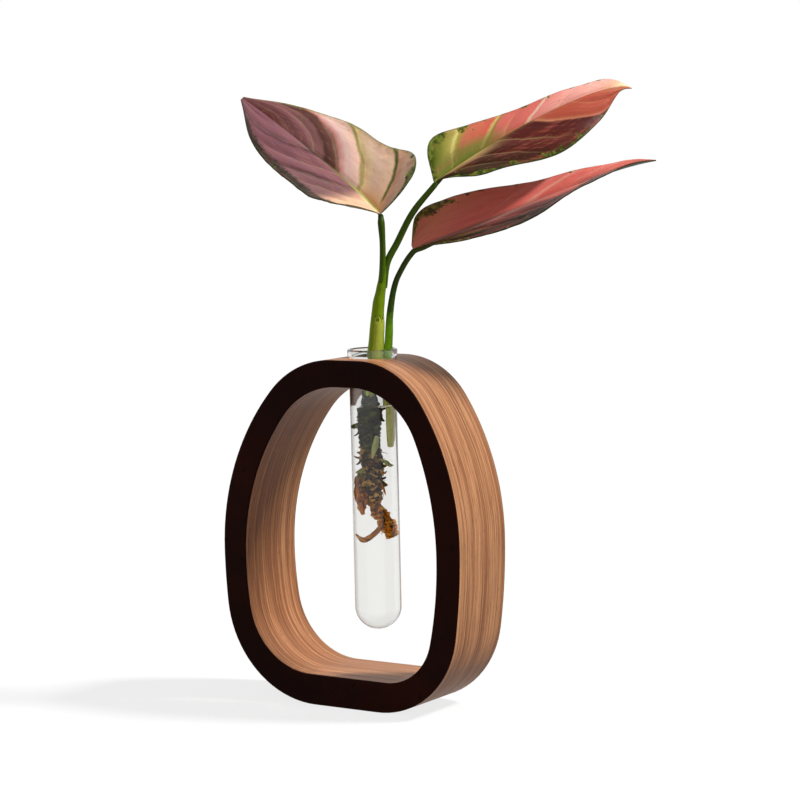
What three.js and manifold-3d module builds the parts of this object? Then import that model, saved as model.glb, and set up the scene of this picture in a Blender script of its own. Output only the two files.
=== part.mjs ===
// A table-top hydroponic vase: a rounded wooden ring stands on its flat side, a glass test tube hangs
// through its crown, and a leafy cutting with its roots stands in the water of the tube.
// Millimetres, +Z up. The origin is the middle of the ring's underside and -Y is the front face.
import * as THREE from "three";
import { mergeVertices } from "three/addons/utils/BufferGeometryUtils.js";
import Module from "manifold-3d";

const wasm = await Module();
wasm.setup();

// Wooden ring: the outline is a chain of arcs that meet in line with each other.
const ringHeight = 185.3;
const ringHalfWidth = 75.5;
const ringDepth = 46;
const ringEdgeRound = 0.8;
const baseWall = 16.4;
const crownWall = 14.3;
const sideWall = 14.3;
// Each side has the height of its widest point, where the flat foot and crown end, measured outward from
// the middle, and the degrees that its long arcs turn before the corner arcs take over.
const outerRight = { widestAt: 90.6, footEnd: 22.4, lowerTurn: 8.7, crownEnd: 15.2, upperTurn: 33.6 };
const outerLeft = { widestAt: 81, footEnd: 17.8, lowerTurn: 5.4, crownEnd: 1.8, upperTurn: 42.8 };
const innerRight = { widestAt: 68, footEnd: 27.8, lowerTurn: 13, crownEnd: 11.2, upperTurn: 22.3 };
const innerLeft = { widestAt: 61, footEnd: 20.5, lowerTurn: 8.8, crownEnd: -0.8, upperTurn: 39.3 };
const arcSteps = 8;

// Test tube, hung by its lip a little to the right of the ring's middle.
const tubeOffset = 9.3;
const tubeRadius = 12.5;
const tubeLength = 150;
const glassWall = 1.2;
const lipHeight = 4.2;
const lipOverhang = 0.85;
const lipRound = 1;
const tubeRunningGap = 0.25;
const seatGap = 0.3;
const roundSteps = 32;

// Water: filled to this depth below the mouth, drawn up a little at the glass.
const waterBelowMouth = 30.3;
const meniscusRise = 1.1;
const meniscusWidth = 2.6;
const waterGap = 0.3;

// Cutting: its own front is turned from the ring's front by this angle.
const cuttingTurn = THREE.MathUtils.degToRad(34);
const rootRoomGap = 0.4;
const stemReach = 70.8;
const stemRadius = 3.8;
const leafThickness = 0.8;
const organGap = 0.3;

const lipBottom = ringHeight + seatGap;
const mouthHeight = lipBottom + lipHeight;
const boreRadius = tubeRadius - glassWall;
const rootRoom = boreRadius - rootRoomGap;
const waterLevel = mouthHeight - waterBelowMouth;

const cos = Math.cos;
const sin = Math.sin;

// Booleans

function solidOf(geometry) {
  const bare = geometry.clone();
  bare.deleteAttribute("normal");
  bare.deleteAttribute("uv");
  const merged = mergeVertices(bare, 1e-3);
  return new wasm.Manifold(
    new wasm.Mesh({
      numProp: 3,
      vertProperties: merged.attributes.position.array,
      triVerts: new Uint32Array(merged.index.array),
    }),
  );
}

function geometryOf(solid) {
  const mesh = solid.getMesh();
  const geometry = new THREE.BufferGeometry();
  geometry.setAttribute("position", new THREE.BufferAttribute(mesh.vertProperties, 3));
  geometry.setIndex(new THREE.BufferAttribute(mesh.triVerts, 1));
  geometry.computeVertexNormals();
  return geometry;
}

// Cuts the tools out of a solid and keeps the largest body that is left.
function cut(solid, ...tools) {
  let left = solid;
  for (const tool of tools) {
    left = left.subtract(tool);
  }
  return left.decompose().reduce((largest, body) => (body.volume() > largest.volume() ? body : largest));
}

// Wooden ring

// The radii of a long arc and a corner arc that together turn a quarter, the long arc up to the given
// turn, and cover this much width and height between the widest point and the flat.
function quarterRadii(width, height, turn) {
  const share = sin(turn) + cos(turn) - 1;
  return {
    long: (height * cos(turn) - width * (1 - sin(turn))) / share,
    corner: (width * sin(turn) - height * (1 - cos(turn))) / share,
  };
}

// One side of the outline as four arcs [centreX, centreZ, radius, fromAngle, toAngle], for a side that
// lies to the right; a left side is the same chain mirrored.
function sideArcs(side, halfWidth, height) {
  const lowerTurn = THREE.MathUtils.degToRad(side.lowerTurn);
  const upperTurn = THREE.MathUtils.degToRad(side.upperTurn);
  const lower = quarterRadii(halfWidth - side.footEnd, side.widestAt, lowerTurn);
  const upper = quarterRadii(halfWidth - side.crownEnd, height - side.widestAt, upperTurn);
  return [
    [side.footEnd, lower.corner, lower.corner, -Math.PI / 2, -lowerTurn],
    [halfWidth - lower.long, side.widestAt, lower.long, -lowerTurn, 0],
    [halfWidth - upper.long, side.widestAt, upper.long, 0, upperTurn],
    [side.crownEnd, height - upper.corner, upper.corner, upperTurn, Math.PI / 2],
  ];
}

function traceOutline(path, right, left, halfWidth, height, bottom) {
  const rightArcs = sideArcs(right, halfWidth, height);
  const leftArcs = sideArcs(left, halfWidth, height).reverse();
  for (const [x, z, radius, from, to] of rightArcs) {
    path.absarc(x, bottom + z, radius, from, to, false);
  }
  for (const [x, z, radius, from, to] of leftArcs) {
    path.absarc(-x, bottom + z, radius, Math.PI - to, Math.PI - from, false);
  }
  path.closePath();
  return path;
}

function makeRing() {
  const outline = new THREE.Shape();
  traceOutline(outline, outerRight, outerLeft, ringHalfWidth, ringHeight, 0);
  const innerHeight = ringHeight - baseWall - crownWall;
  const opening = new THREE.Path();
  traceOutline(opening, innerRight, innerLeft, ringHalfWidth - sideWall, innerHeight, baseWall);
  outline.holes.push(opening);
  const blank = new THREE.ExtrudeGeometry(outline, {
    depth: ringDepth - 2 * ringEdgeRound,
    curveSegments: arcSteps,
    bevelEnabled: true,
    bevelSize: ringEdgeRound,
    bevelOffset: -ringEdgeRound,
    bevelThickness: ringEdgeRound,
    bevelSegments: 1,
  });
  blank.translate(0, 0, ringEdgeRound - ringDepth / 2);
  blank.rotateX(Math.PI / 2);
  const holeRadius = tubeRadius + tubeRunningGap;
  const drillLength = 3 * crownWall;
  const drill = new THREE.CylinderGeometry(holeRadius, holeRadius, drillLength, roundSteps);
  drill.rotateX(Math.PI / 2);
  drill.translate(tubeOffset, 0, ringHeight);
  return geometryOf(solidOf(blank).subtract(solidOf(drill)));
}

// Test tube and water, both turned round the tube's axis

function arcPoints(centreX, centreY, radius, from, to, steps) {
  const points = [];
  for (let i = 0; i <= steps; i++) {
    const angle = from + ((to - from) * i) / steps;
    points.push(new THREE.Vector2(centreX + radius * cos(angle), centreY + radius * sin(angle)));
  }
  return points;
}

// A profile in radius and height, turned round +Z.
function turned(profile, steps) {
  const lathe = new THREE.LatheGeometry(profile, steps);
  lathe.rotateX(Math.PI / 2);
  return lathe;
}

const tubeBottom = mouthHeight - tubeLength;
const bowlCentre = tubeBottom + tubeRadius;

const bowlSteps = 7;
const quarter = Math.PI / 2;

function makeTube() {
  const lipRadius = tubeRadius + lipOverhang;
  const lipSteps = 4;
  const profile = [
    ...arcPoints(0, bowlCentre, tubeRadius, -quarter, 0, bowlSteps),
    ...arcPoints(lipRadius - lipRound, lipBottom + lipRound, lipRound, -quarter, 0, lipSteps),
    ...arcPoints(lipRadius - lipRound, mouthHeight - lipRound, lipRound, 0, quarter, lipSteps),
    ...arcPoints(boreRadius + lipRound, mouthHeight - lipRound, lipRound, quarter, 2 * quarter, lipSteps),
    ...arcPoints(0, bowlCentre, boreRadius, 0, -quarter, bowlSteps),
  ];
  profile[0].x = 0;
  profile[profile.length - 1].x = 0;
  const underLip = new THREE.Vector2(tubeRadius, lipBottom);
  profile.splice(bowlSteps + 1, 0, underLip);
  return turned(profile, roundSteps);
}

function makeWaterColumn() {
  const waterRadius = boreRadius - waterGap;
  const surface = [
    new THREE.Vector2(waterRadius, waterLevel + meniscusRise),
    new THREE.Vector2(waterRadius - meniscusWidth / 3, waterLevel + meniscusRise / 3),
    new THREE.Vector2(waterRadius - meniscusWidth, waterLevel),
    new THREE.Vector2(0, waterLevel),
  ];
  const profile = [...arcPoints(0, bowlCentre, waterRadius, -quarter, 0, bowlSteps), ...surface];
  profile[0].x = 0;
  return turned(profile, roundSteps);
}

// Stems and roots: a round section carried along a smooth path

// Places in the cutting's own frame, whose origin is the middle of the mouth. Below the mouth, across,
// depth and radius are shares of the room inside the glass, so the roots follow the tube, and the height
// is in millimetres. Above it, places are shares of the stems' reach and radii of the stem's radius.
function inTube(across, depth, height, radius) {
  return { at: new THREE.Vector3(across * rootRoom, depth * rootRoom, height), radius: radius * rootRoom };
}

function overTube(across, depth, height, radius) {
  const at = new THREE.Vector3(across, depth, height).multiplyScalar(stemReach);
  return { at, radius: radius * stemRadius };
}

const limbs = {
  stem_sheath: {
    sides: 12,
    steps: 14,
    places: [
      inTube(-0.23, 0.0, -23.5, 0.33),
      inTube(-0.05, 0.0, -12, 0.36),
      inTube(0.16, 0.0, -1, 0.385),
      overTube(0.035, 0, 0.113, 1),
      overTube(0.055, 0, 0.325, 0.842),
      overTube(0.076, 0, 0.438, 0.684),
      overTube(0.088, 0, 0.508, 0.579),
    ],
  },
  petiole_left: {
    sides: 8,
    steps: 14,
    cutBy: ["stem_sheath", "petiole_upper_right"],
    places: [
      overTube(0.079, -0.008, 0.466, 0.447),
      overTube(0.093, -0.011, 0.636, 0.434),
      overTube(0.096, -0.008, 0.791, 0.421),
    ],
    carries: "leaf_left",
  },
  petiole_upper_right: {
    sides: 8,
    steps: 16,
    cutBy: ["stem_sheath"],
    places: [
      overTube(0.099, 0.011, 0.459, 0.474),
      overTube(0.127, 0.016, 0.636, 0.487),
      overTube(0.202, 0.02, 0.777, 0.474),
      overTube(0.325, 0.013, 1.003, 0.447),
    ],
    carries: "leaf_upper_right",
  },
  petiole_lower_right: {
    sides: 10,
    steps: 24,
    places: [
      inTube(0.6, 0.0, -51, 0.13),
      inTube(0.62, 0.0, -46, 0.17),
      inTube(0.62, 0.0, -38, 0.18),
      inTube(0.66, 0.0, -20, 0.19),
      inTube(0.77, 0.0, -2, 0.2),
      overTube(0.129, 0, 0.113, 0.553),
      overTube(0.137, 0, 0.24, 0.487),
      overTube(0.168, 0, 0.424, 0.421),
      overTube(0.21, 0, 0.544, 0.395),
    ],
    carries: "leaf_lower_right",
  },
  cane: {
    sides: 12,
    steps: 8,
    lumps: 0.06,
    cutBy: ["stem_sheath"],
    places: [
      inTube(-0.23, 0.0, -22.5, 0.33),
      inTube(-0.15, 0.0, -31, 0.47),
      inTube(-0.18, 0.0, -41, 0.42),
      inTube(-0.18, 0.0, -54, 0.35),
    ],
  },
  rhizome: {
    sides: 12,
    steps: 14,
    lumps: 0.13,
    cutBy: ["cane"],
    places: [
      inTube(-0.16, 0.0, -51, 0.35),
      inTube(-0.12, 0.05, -58, 0.4),
      inTube(-0.12, 0.0, -66, 0.42),
      inTube(-0.14, 0.0, -73, 0.38),
      inTube(-0.05, 0.0, -79, 0.28),
    ],
  },
  root_lower: {
    sides: 10,
    steps: 16,
    lumps: 0.16,
    cutBy: ["rhizome"],
    places: [
      inTube(-0.06, 0.0, -76, 0.25),
      inTube(-0.02, 0.0, -83, 0.25),
      inTube(0.2, 0.0, -89, 0.3),
      inTube(0.46, 0.0, -94.5, 0.33),
      inTube(0.6, 0.0, -99, 0.24),
    ],
  },
  root_left: {
    sides: 10,
    steps: 12,
    lumps: 0.14,
    cutBy: ["rhizome"],
    places: [
      inTube(-0.45, -0.15, -64, 0.16),
      inTube(-0.63, -0.15, -70, 0.22),
      inTube(-0.6, -0.15, -77, 0.27),
      inTube(-0.54, -0.12, -83.5, 0.2),
      inTube(-0.53, -0.1, -87, 0.1),
    ],
  },
  root_thin: {
    sides: 7,
    steps: 14,
    cutBy: ["root_lower"],
    places: [
      inTube(0.2, -0.1, -93, 0.08),
      inTube(0.02, -0.16, -96.5, 0.11),
      inTube(-0.24, -0.2, -99.5, 0.12),
      inTube(-0.52, -0.2, -101.2, 0.13),
      inTube(-0.82, -0.16, -98.6, 0.06),
    ],
  },
  bud_scale: {
    sides: 8,
    steps: 8,
    cutBy: ["cane", "rhizome"],
    places: [
      inTube(0.1, -0.34, -46, 0.1),
      inTube(0.02, -0.44, -51, 0.13),
      inTube(-0.1, -0.46, -57, 0.05),
    ],
  },
  side_shoot: {
    sides: 7,
    steps: 8,
    cutBy: ["rhizome", "cane"],
    places: [
      inTube(0.2, -0.12, -58, 0.05),
      inTube(0.42, -0.14, -59.6, 0.09),
      inTube(0.58, -0.14, -61.4, 0.08),
      inTube(0.72, -0.12, -61.6, 0.03),
    ],
  },
  cut_stub: {
    sides: 10,
    steps: 3,
    cutBy: ["rhizome"],
    places: [
      inTube(-0.2, -0.25, -60, 0.15),
      inTube(-0.22, -0.4, -60.3, 0.16),
      inTube(-0.23, -0.48, -60.5, 0.14),
    ],
  },
  root_fibre_upper: {
    sides: 6,
    steps: 5,
    cutBy: ["rhizome"],
    places: [
      inTube(0.22, -0.1, -64, 0.05),
      inTube(0.34, -0.14, -65.5, 0.05),
      inTube(0.44, -0.16, -64.6, 0.025),
    ],
  },
  root_fibre_lower: {
    sides: 6,
    steps: 5,
    cutBy: ["rhizome"],
    places: [
      inTube(0.16, -0.1, -70, 0.05),
      inTube(0.3, -0.16, -73.5, 0.05),
      inTube(0.38, -0.18, -77, 0.025),
    ],
  },
};

// Where a petiole meets its leaf: it runs on below the midrib and thins out there.
function placesUnder(leaf) {
  const midrib = midribOf(leaf);
  const ridge = [
    { t: 0.004, share: 0.395 },
    { t: 0.035, share: 0.316 },
    { t: 0.08, share: 0.21 },
  ];
  return ridge.map(({ t, share }) => {
    const radius = share * stemRadius;
    const below = radius + leafThickness / 2 + organGap;
    const at = midrib.getPointAt(t).addScaledVector(leafAxes(leaf, midrib, t).normal, -below);
    return { at, radius };
  });
}

// A lofted limb; grow widens and lengthens it, for the hollow that it needs in its neighbour.
function limbGeometry(limb, grow = 0) {
  const places = limb.carries ? [...limb.places, ...placesUnder(leaves[limb.carries])] : limb.places;
  const curve = new THREE.CatmullRomCurve3(places.map((place) => place.at));
  const frames = curve.computeFrenetFrames(limb.steps, false);
  const spans = places.length - 1;
  const positions = [];
  const index = [];
  const centres = [];
  for (let i = 0; i <= limb.steps; i++) {
    const t = i / limb.steps;
    const along = curve.getUtoTmapping(t) * spans;
    const k = Math.min(Math.floor(along), spans - 1);
    const ease = THREE.MathUtils.smoothstep(along - k, 0, 1);
    const radius = THREE.MathUtils.lerp(places[k].radius, places[k + 1].radius, ease) + grow;
    const centre = curve.getPointAt(t);
    const past = i === 0 ? -grow : i === limb.steps ? grow : 0;
    centre.addScaledVector(frames.tangents[i], past);
    centres.push(centre);
    for (let j = 0; j < limb.sides; j++) {
      const angle = (2 * Math.PI * j) / limb.sides;
      const lump = 1 + (limb.lumps ?? 0) * sin(3 * angle + 2.3 * i) * sin(1.7 * i + angle);
      const out = frames.normals[i].clone().multiplyScalar(cos(angle));
      out.addScaledVector(frames.binormals[i], sin(angle));
      const point = centre.clone().addScaledVector(out, radius * lump);
      positions.push(point.x, point.y, point.z);
    }
  }
  for (let i = 0; i < limb.steps; i++) {
    for (let j = 0; j < limb.sides; j++) {
      const next = (j + 1) % limb.sides;
      const a = i * limb.sides + j;
      const b = i * limb.sides + next;
      const c = a + limb.sides;
      const d = b + limb.sides;
      index.push(a, b, d, a, d, c);
    }
  }
  for (const [ring, flip] of [[0, true], [limb.steps, false]]) {
    const middle = positions.length / 3;
    positions.push(...centres[ring].toArray());
    for (let j = 0; j < limb.sides; j++) {
      const a = ring * limb.sides + j;
      const b = ring * limb.sides + ((j + 1) % limb.sides);
      index.push(...(flip ? [middle, b, a] : [middle, a, b]));
    }
  }
  const geometry = new THREE.BufferGeometry();
  geometry.setAttribute("position", new THREE.Float32BufferAttribute(positions, 3));
  geometry.setIndex(index);
  return geometry;
}

// Leaves: two half blades that meet at the midrib. The base is a share of the stems' reach, the midrib
// bends through shares of the leaf's length, and a half blade's shape is its width at each station as a
// share of its full width. Angles are degrees: how a half folds at base and tip, and its base edge's lean.

const widthStations = [0, 0.05, 0.15, 0.3, 0.5, 0.7, 0.87, 1];

const leaves = {
  leaf_left: {
    base: [0.085, 0, 1],
    length: 113,
    midrib: [[-0.015, 0.0195, 0.0177], [-0.2257, 0.3717, 0.2478], [-0.6637, 0.4912, 0.5646]],
    turn: -7,
    rise: 43.5,
    upper: {
      side: 1,
      width: 34.5,
      shape: [0.406, 0.812, 1, 0.826, 0.768, 0.464],
      lean: 15.5,
      foldAtBase: 33,
      foldAtTip: -18,
      curl: 0.06,
    },
    lower: {
      side: -1,
      width: 31,
      shape: [0.5, 0.823, 1, 0.977, 0.881, 0.613],
      lean: -12.5,
      foldAtBase: 39,
      foldAtTip: -1,
      curl: 0.08,
    },
  },
  leaf_upper_right: {
    base: [0.487, 0, 1.212],
    length: 123,
    midrib: [[0.126, 0.0813, 0.1171], [0.7724, 0.1764, 0.4699], [0.8789, 0.278, 0.387]],
    turn: 4.7,
    rise: 42.5,
    upper: {
      side: -1,
      width: 20.9,
      shape: [0.689, 1, 0.785, 0.522, 0.474, 0.459],
      lean: -28.5,
      foldAtBase: 22.5,
      foldAtTip: -23.7,
      curl: -0.07,
    },
    lower: {
      side: 1,
      width: 27,
      shape: [0.044, 0.589, 0.826, 1, 0.626, 0.13],
      lean: -29.5,
      foldAtBase: 38,
      foldAtTip: -25.2,
      curl: -0.09,
    },
  },
  leaf_lower_right: {
    base: [0.306, 0, 0.727],
    length: 137.1,
    midrib: [[0.4048, 0.0168, 0.1306], [0.7053, -0.0496, 0.2969], [0.9395, -0.116, 0.3224]],
    turn: 23.8,
    rise: 54,
    upper: {
      side: -1,
      width: 24,
      shape: [0.804, 1, 0.871, 0.558, 0.425, 0.262],
      lean: 0.6,
      foldAtBase: 18.2,
      foldAtTip: -9.5,
      curl: -0.04,
    },
    lower: {
      side: 1,
      width: 22.3,
      shape: [0.063, 0.39, 0.87, 1, 0.753, 0.399],
      lean: -12.5,
      foldAtBase: 5,
      foldAtTip: 40,
      curl: 0,
    },
  },
};

// Smooth width of a half blade at t, through its stations.
function widthAt(half, t) {
  const widths = [0, ...half.shape, 0].map((share) => share * half.width);
  const last = widthStations.length - 1;
  const slope = (i) => {
    const before = Math.max(i - 1, 0);
    const after = Math.min(i + 1, last);
    return (widths[after] - widths[before]) / (widthStations[after] - widthStations[before]);
  };
  let k = 0;
  while (k < last - 1 && t > widthStations[k + 1]) {
    k++;
  }
  const span = widthStations[k + 1] - widthStations[k];
  const s = (t - widthStations[k]) / span;
  const fromStart = (1 + 2 * s) * (1 - s) ** 2 * widths[k] + s * (1 - s) ** 2 * span * slope(k);
  const fromEnd = s ** 2 * (3 - 2 * s) * widths[k + 1] + s ** 2 * (s - 1) * span * slope(k + 1);
  return Math.max(fromStart + fromEnd, leafThickness / 4);
}

function midribOf(leaf) {
  const base = new THREE.Vector3(...leaf.base).multiplyScalar(stemReach);
  const bends = leaf.midrib.map((point) => new THREE.Vector3(...point).multiplyScalar(leaf.length));
  return new THREE.CubicBezierCurve3(base, ...bends.map((bend) => bend.add(base)));
}

// The leaf's direction at t and the normal of its upper face there.
function leafAxes(leaf, midrib, t) {
  const turn = THREE.MathUtils.degToRad(leaf.turn);
  const rise = THREE.MathUtils.degToRad(leaf.rise);
  const facing = new THREE.Vector3(sin(turn) * cos(rise), -cos(turn) * cos(rise), sin(rise));
  const along = midrib.getTangent(t);
  const normal = facing.addScaledVector(along, -facing.dot(along)).normalize();
  return { along, normal };
}

// The point of a half blade at t along the midrib and u of the way out to the margin.
function bladePoint(leaf, half, midrib, t, u) {
  const baseLeanFades = 0.12;
  const { along, normal } = leafAxes(leaf, midrib, t);
  const across = along.clone().cross(normal).multiplyScalar(half.side);
  const fold = THREE.MathUtils.degToRad(THREE.MathUtils.lerp(half.foldAtBase, half.foldAtTip, t));
  const lean = THREE.MathUtils.degToRad(half.lean) * Math.exp(-t / baseLeanFades);
  const outward = across.clone().multiplyScalar(cos(fold)).addScaledVector(normal, sin(fold));
  const bladeNormal = across.multiplyScalar(-sin(fold)).addScaledVector(normal, cos(fold));
  outward.multiplyScalar(cos(lean)).addScaledVector(along, -sin(lean));
  const width = widthAt(half, t);
  const point = midrib.getPoint(t);
  point.addScaledVector(outward, width * u);
  point.addScaledVector(bladeNormal, width * half.curl * u * u);
  return point;
}

function leafGeometry(leaf, thickness = leafThickness) {
  const rows = 18;
  const columnsPerHalf = 3;
  const baseAt = 0.006;
  const tipAt = 0.99;
  const closerAtBase = 1.3;
  const midrib = midribOf(leaf);
  const grid = [];
  for (let i = 0; i <= rows; i++) {
    const t = baseAt + (tipAt - baseAt) * (i / rows) ** closerAtBase;
    const row = [];
    for (let j = columnsPerHalf; j >= 1; j--) {
      row.push(bladePoint(leaf, leaf.upper, midrib, t, j / columnsPerHalf));
    }
    for (let j = 0; j <= columnsPerHalf; j++) {
      row.push(bladePoint(leaf, leaf.lower, midrib, t, j / columnsPerHalf));
    }
    grid.push(row);
  }
  return thickened(grid, thickness);
}

// A closed sheet of even thickness round a grid of points.
function thickened(grid, thickness) {
  const rows = grid.length;
  const columns = grid[0].length;
  const positions = [];
  for (const side of [1, -1]) {
    for (let i = 0; i < rows; i++) {
      for (let j = 0; j < columns; j++) {
        const down = grid[Math.min(i + 1, rows - 1)][j].clone().sub(grid[Math.max(i - 1, 0)][j]);
        const over = grid[i][Math.min(j + 1, columns - 1)].clone().sub(grid[i][Math.max(j - 1, 0)]);
        const normal = down.cross(over).normalize();
        const point = grid[i][j].clone().addScaledVector(normal, (side * thickness) / 2);
        positions.push(...point.toArray());
      }
    }
  }
  const sheet = rows * columns;
  const index = [];
  const quad = (a, b, c, d) => index.push(a, b, c, a, c, d);
  for (let i = 0; i < rows - 1; i++) {
    for (let j = 0; j < columns - 1; j++) {
      const a = i * columns + j;
      quad(a, a + columns, a + columns + 1, a + 1);
      quad(sheet + a, sheet + a + 1, sheet + a + columns + 1, sheet + a + columns);
    }
  }
  for (let i = 0; i < rows - 1; i++) {
    const a = i * columns;
    quad(a, sheet + a, sheet + a + columns, a + columns);
    const b = a + columns - 1;
    quad(b, b + columns, sheet + b + columns, sheet + b);
  }
  const lastRow = (rows - 1) * columns;
  for (let j = 0; j < columns - 1; j++) {
    quad(j, j + 1, sheet + j + 1, sheet + j);
    const b = lastRow + j;
    quad(b, sheet + b, sheet + b + 1, b + 1);
  }
  const geometry = new THREE.BufferGeometry();
  geometry.setAttribute("position", new THREE.Float32BufferAttribute(positions, 3));
  geometry.setIndex(index);
  return geometry;
}

// Assembly

const colours = {
  wooden_ring: "#6d4630",
  test_tube: "#dfe8ea",
  water: "#b9d2d6",
  stem_sheath: "#7f9a1c",
  petiole_left: "#3d5a12",
  petiole_upper_right: "#3f5c14",
  petiole_lower_right: "#33550f",
  cane: "#2a3011",
  rhizome: "#5b4a1d",
  root_lower: "#b98522",
  root_left: "#96521b",
  root_thin: "#a65d22",
  bud_scale: "#b6bb77",
  side_shoot: "#8c7f3c",
  cut_stub: "#4a3a1a",
  root_fibre_upper: "#7d6a3a",
  root_fibre_lower: "#7d6a3a",
  leaf_left: "#b9808a",
  leaf_upper_right: "#c9776a",
  leaf_lower_right: "#cf6460",
};

function piece(name, geometry, roughness) {
  const material = new THREE.MeshStandardMaterial({ color: colours[name], roughness, metalness: 0 });
  if (name === "test_tube" || name === "water") {
    material.transparent = true;
    material.opacity = 0.35;
  }
  const mesh = new THREE.Mesh(geometry, material);
  mesh.name = name;
  return mesh;
}

const vase = new THREE.Group();
vase.add(piece("wooden_ring", makeRing(), 0.45));

const tubeGroup = new THREE.Group();
tubeGroup.position.x = tubeOffset;
vase.add(tubeGroup);
tubeGroup.add(piece("test_tube", makeTube(), 0.05));

const cutting = new THREE.Group();
cutting.position.z = mouthHeight;
cutting.rotation.z = cuttingTurn;
tubeGroup.add(cutting);

for (const [name, limb] of Object.entries(limbs)) {
  const cutters = (limb.cutBy ?? []).map((other) => solidOf(limbGeometry(limbs[other], organGap)));
  if (limb.carries) {
    cutters.push(solidOf(leafGeometry(leaves[limb.carries], leafThickness + 2 * organGap)));
  }
  const solid = cut(solidOf(limbGeometry(limb)), ...cutters);
  cutting.add(piece(name, geometryOf(solid), 0.6));
}
for (const [name, leaf] of Object.entries(leaves)) {
  cutting.add(piece(name, leafGeometry(leaf), 0.4));
}

// The water is what the cutting's wet stems and roots leave of the column.
const wetLimbs = Object.values(limbs).map((limb) => {
  const room = limbGeometry(limb, waterGap);
  room.rotateZ(cuttingTurn);
  room.translate(0, 0, mouthHeight);
  return solidOf(room);
});
tubeGroup.add(piece("water", geometryOf(cut(solidOf(makeWaterColumn()), ...wetLimbs)), 0.02));

export default vase;
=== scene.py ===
"""A table-top hydroponic vase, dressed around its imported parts.

A rounded walnut ring stands on its flat foot. A glass test tube of water hangs through its crown, and a
leafy cutting stands in the water with its roots. Metres, +Z up, and the ring's front looks along -Y.
"""

import logging
import math
import random
from collections.abc import Callable
from dataclasses import dataclass, field
from enum import Enum
from itertools import accumulate

import bmesh
import bpy
from mathutils import Matrix, Vector, geometry, noise


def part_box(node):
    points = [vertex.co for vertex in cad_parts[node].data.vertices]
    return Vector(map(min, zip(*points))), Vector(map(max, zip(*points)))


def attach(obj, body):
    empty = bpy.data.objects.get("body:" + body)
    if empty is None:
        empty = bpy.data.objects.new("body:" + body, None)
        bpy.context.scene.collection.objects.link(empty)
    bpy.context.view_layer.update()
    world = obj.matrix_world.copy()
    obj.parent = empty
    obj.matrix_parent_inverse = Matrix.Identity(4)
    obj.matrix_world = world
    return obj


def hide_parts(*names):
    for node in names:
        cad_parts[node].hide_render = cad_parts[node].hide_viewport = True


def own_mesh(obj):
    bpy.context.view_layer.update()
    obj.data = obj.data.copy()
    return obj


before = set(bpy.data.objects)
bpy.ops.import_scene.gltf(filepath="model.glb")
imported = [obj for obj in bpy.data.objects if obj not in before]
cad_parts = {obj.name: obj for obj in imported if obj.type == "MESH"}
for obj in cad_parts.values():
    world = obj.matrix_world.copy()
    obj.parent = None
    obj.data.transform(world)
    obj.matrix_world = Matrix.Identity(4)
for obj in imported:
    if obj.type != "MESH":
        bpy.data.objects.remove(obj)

LOG = logging.getLogger("hydroponic_vase")
MM = 0.001
TURN = 2 * math.pi

Colour = tuple[float, float, float, float]
Socket = bpy.types.NodeSocket
Stops = list[tuple[float, Colour]]
RELIEF = "relief"


def screen(red: float, green: float, blue: float) -> Colour:
    """Turns a colour as a screen shows it into one that a shader takes.

    Args:
        red: Red from 0 to 255.
        green: Green from 0 to 255.
        blue: Blue from 0 to 255.

    Returns:
        The linear colour with full alpha.
    """
    shares = [channel / 255 for channel in (red, green, blue)]
    linear = [s / 12.92 if s <= 0.04045 else ((s + 0.055) / 1.055) ** 2.4 for s in shares]
    return (linear[0], linear[1], linear[2], 1.0)


class Body(Enum):
    """The rigid bodies that the pieces ride on."""

    RING = "ring"
    TUBE = "tube"
    CUTTING = "cutting"


class Side(Enum):
    """Which way a half blade lies from its midrib."""

    LEFT = 1
    RIGHT = -1


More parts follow.
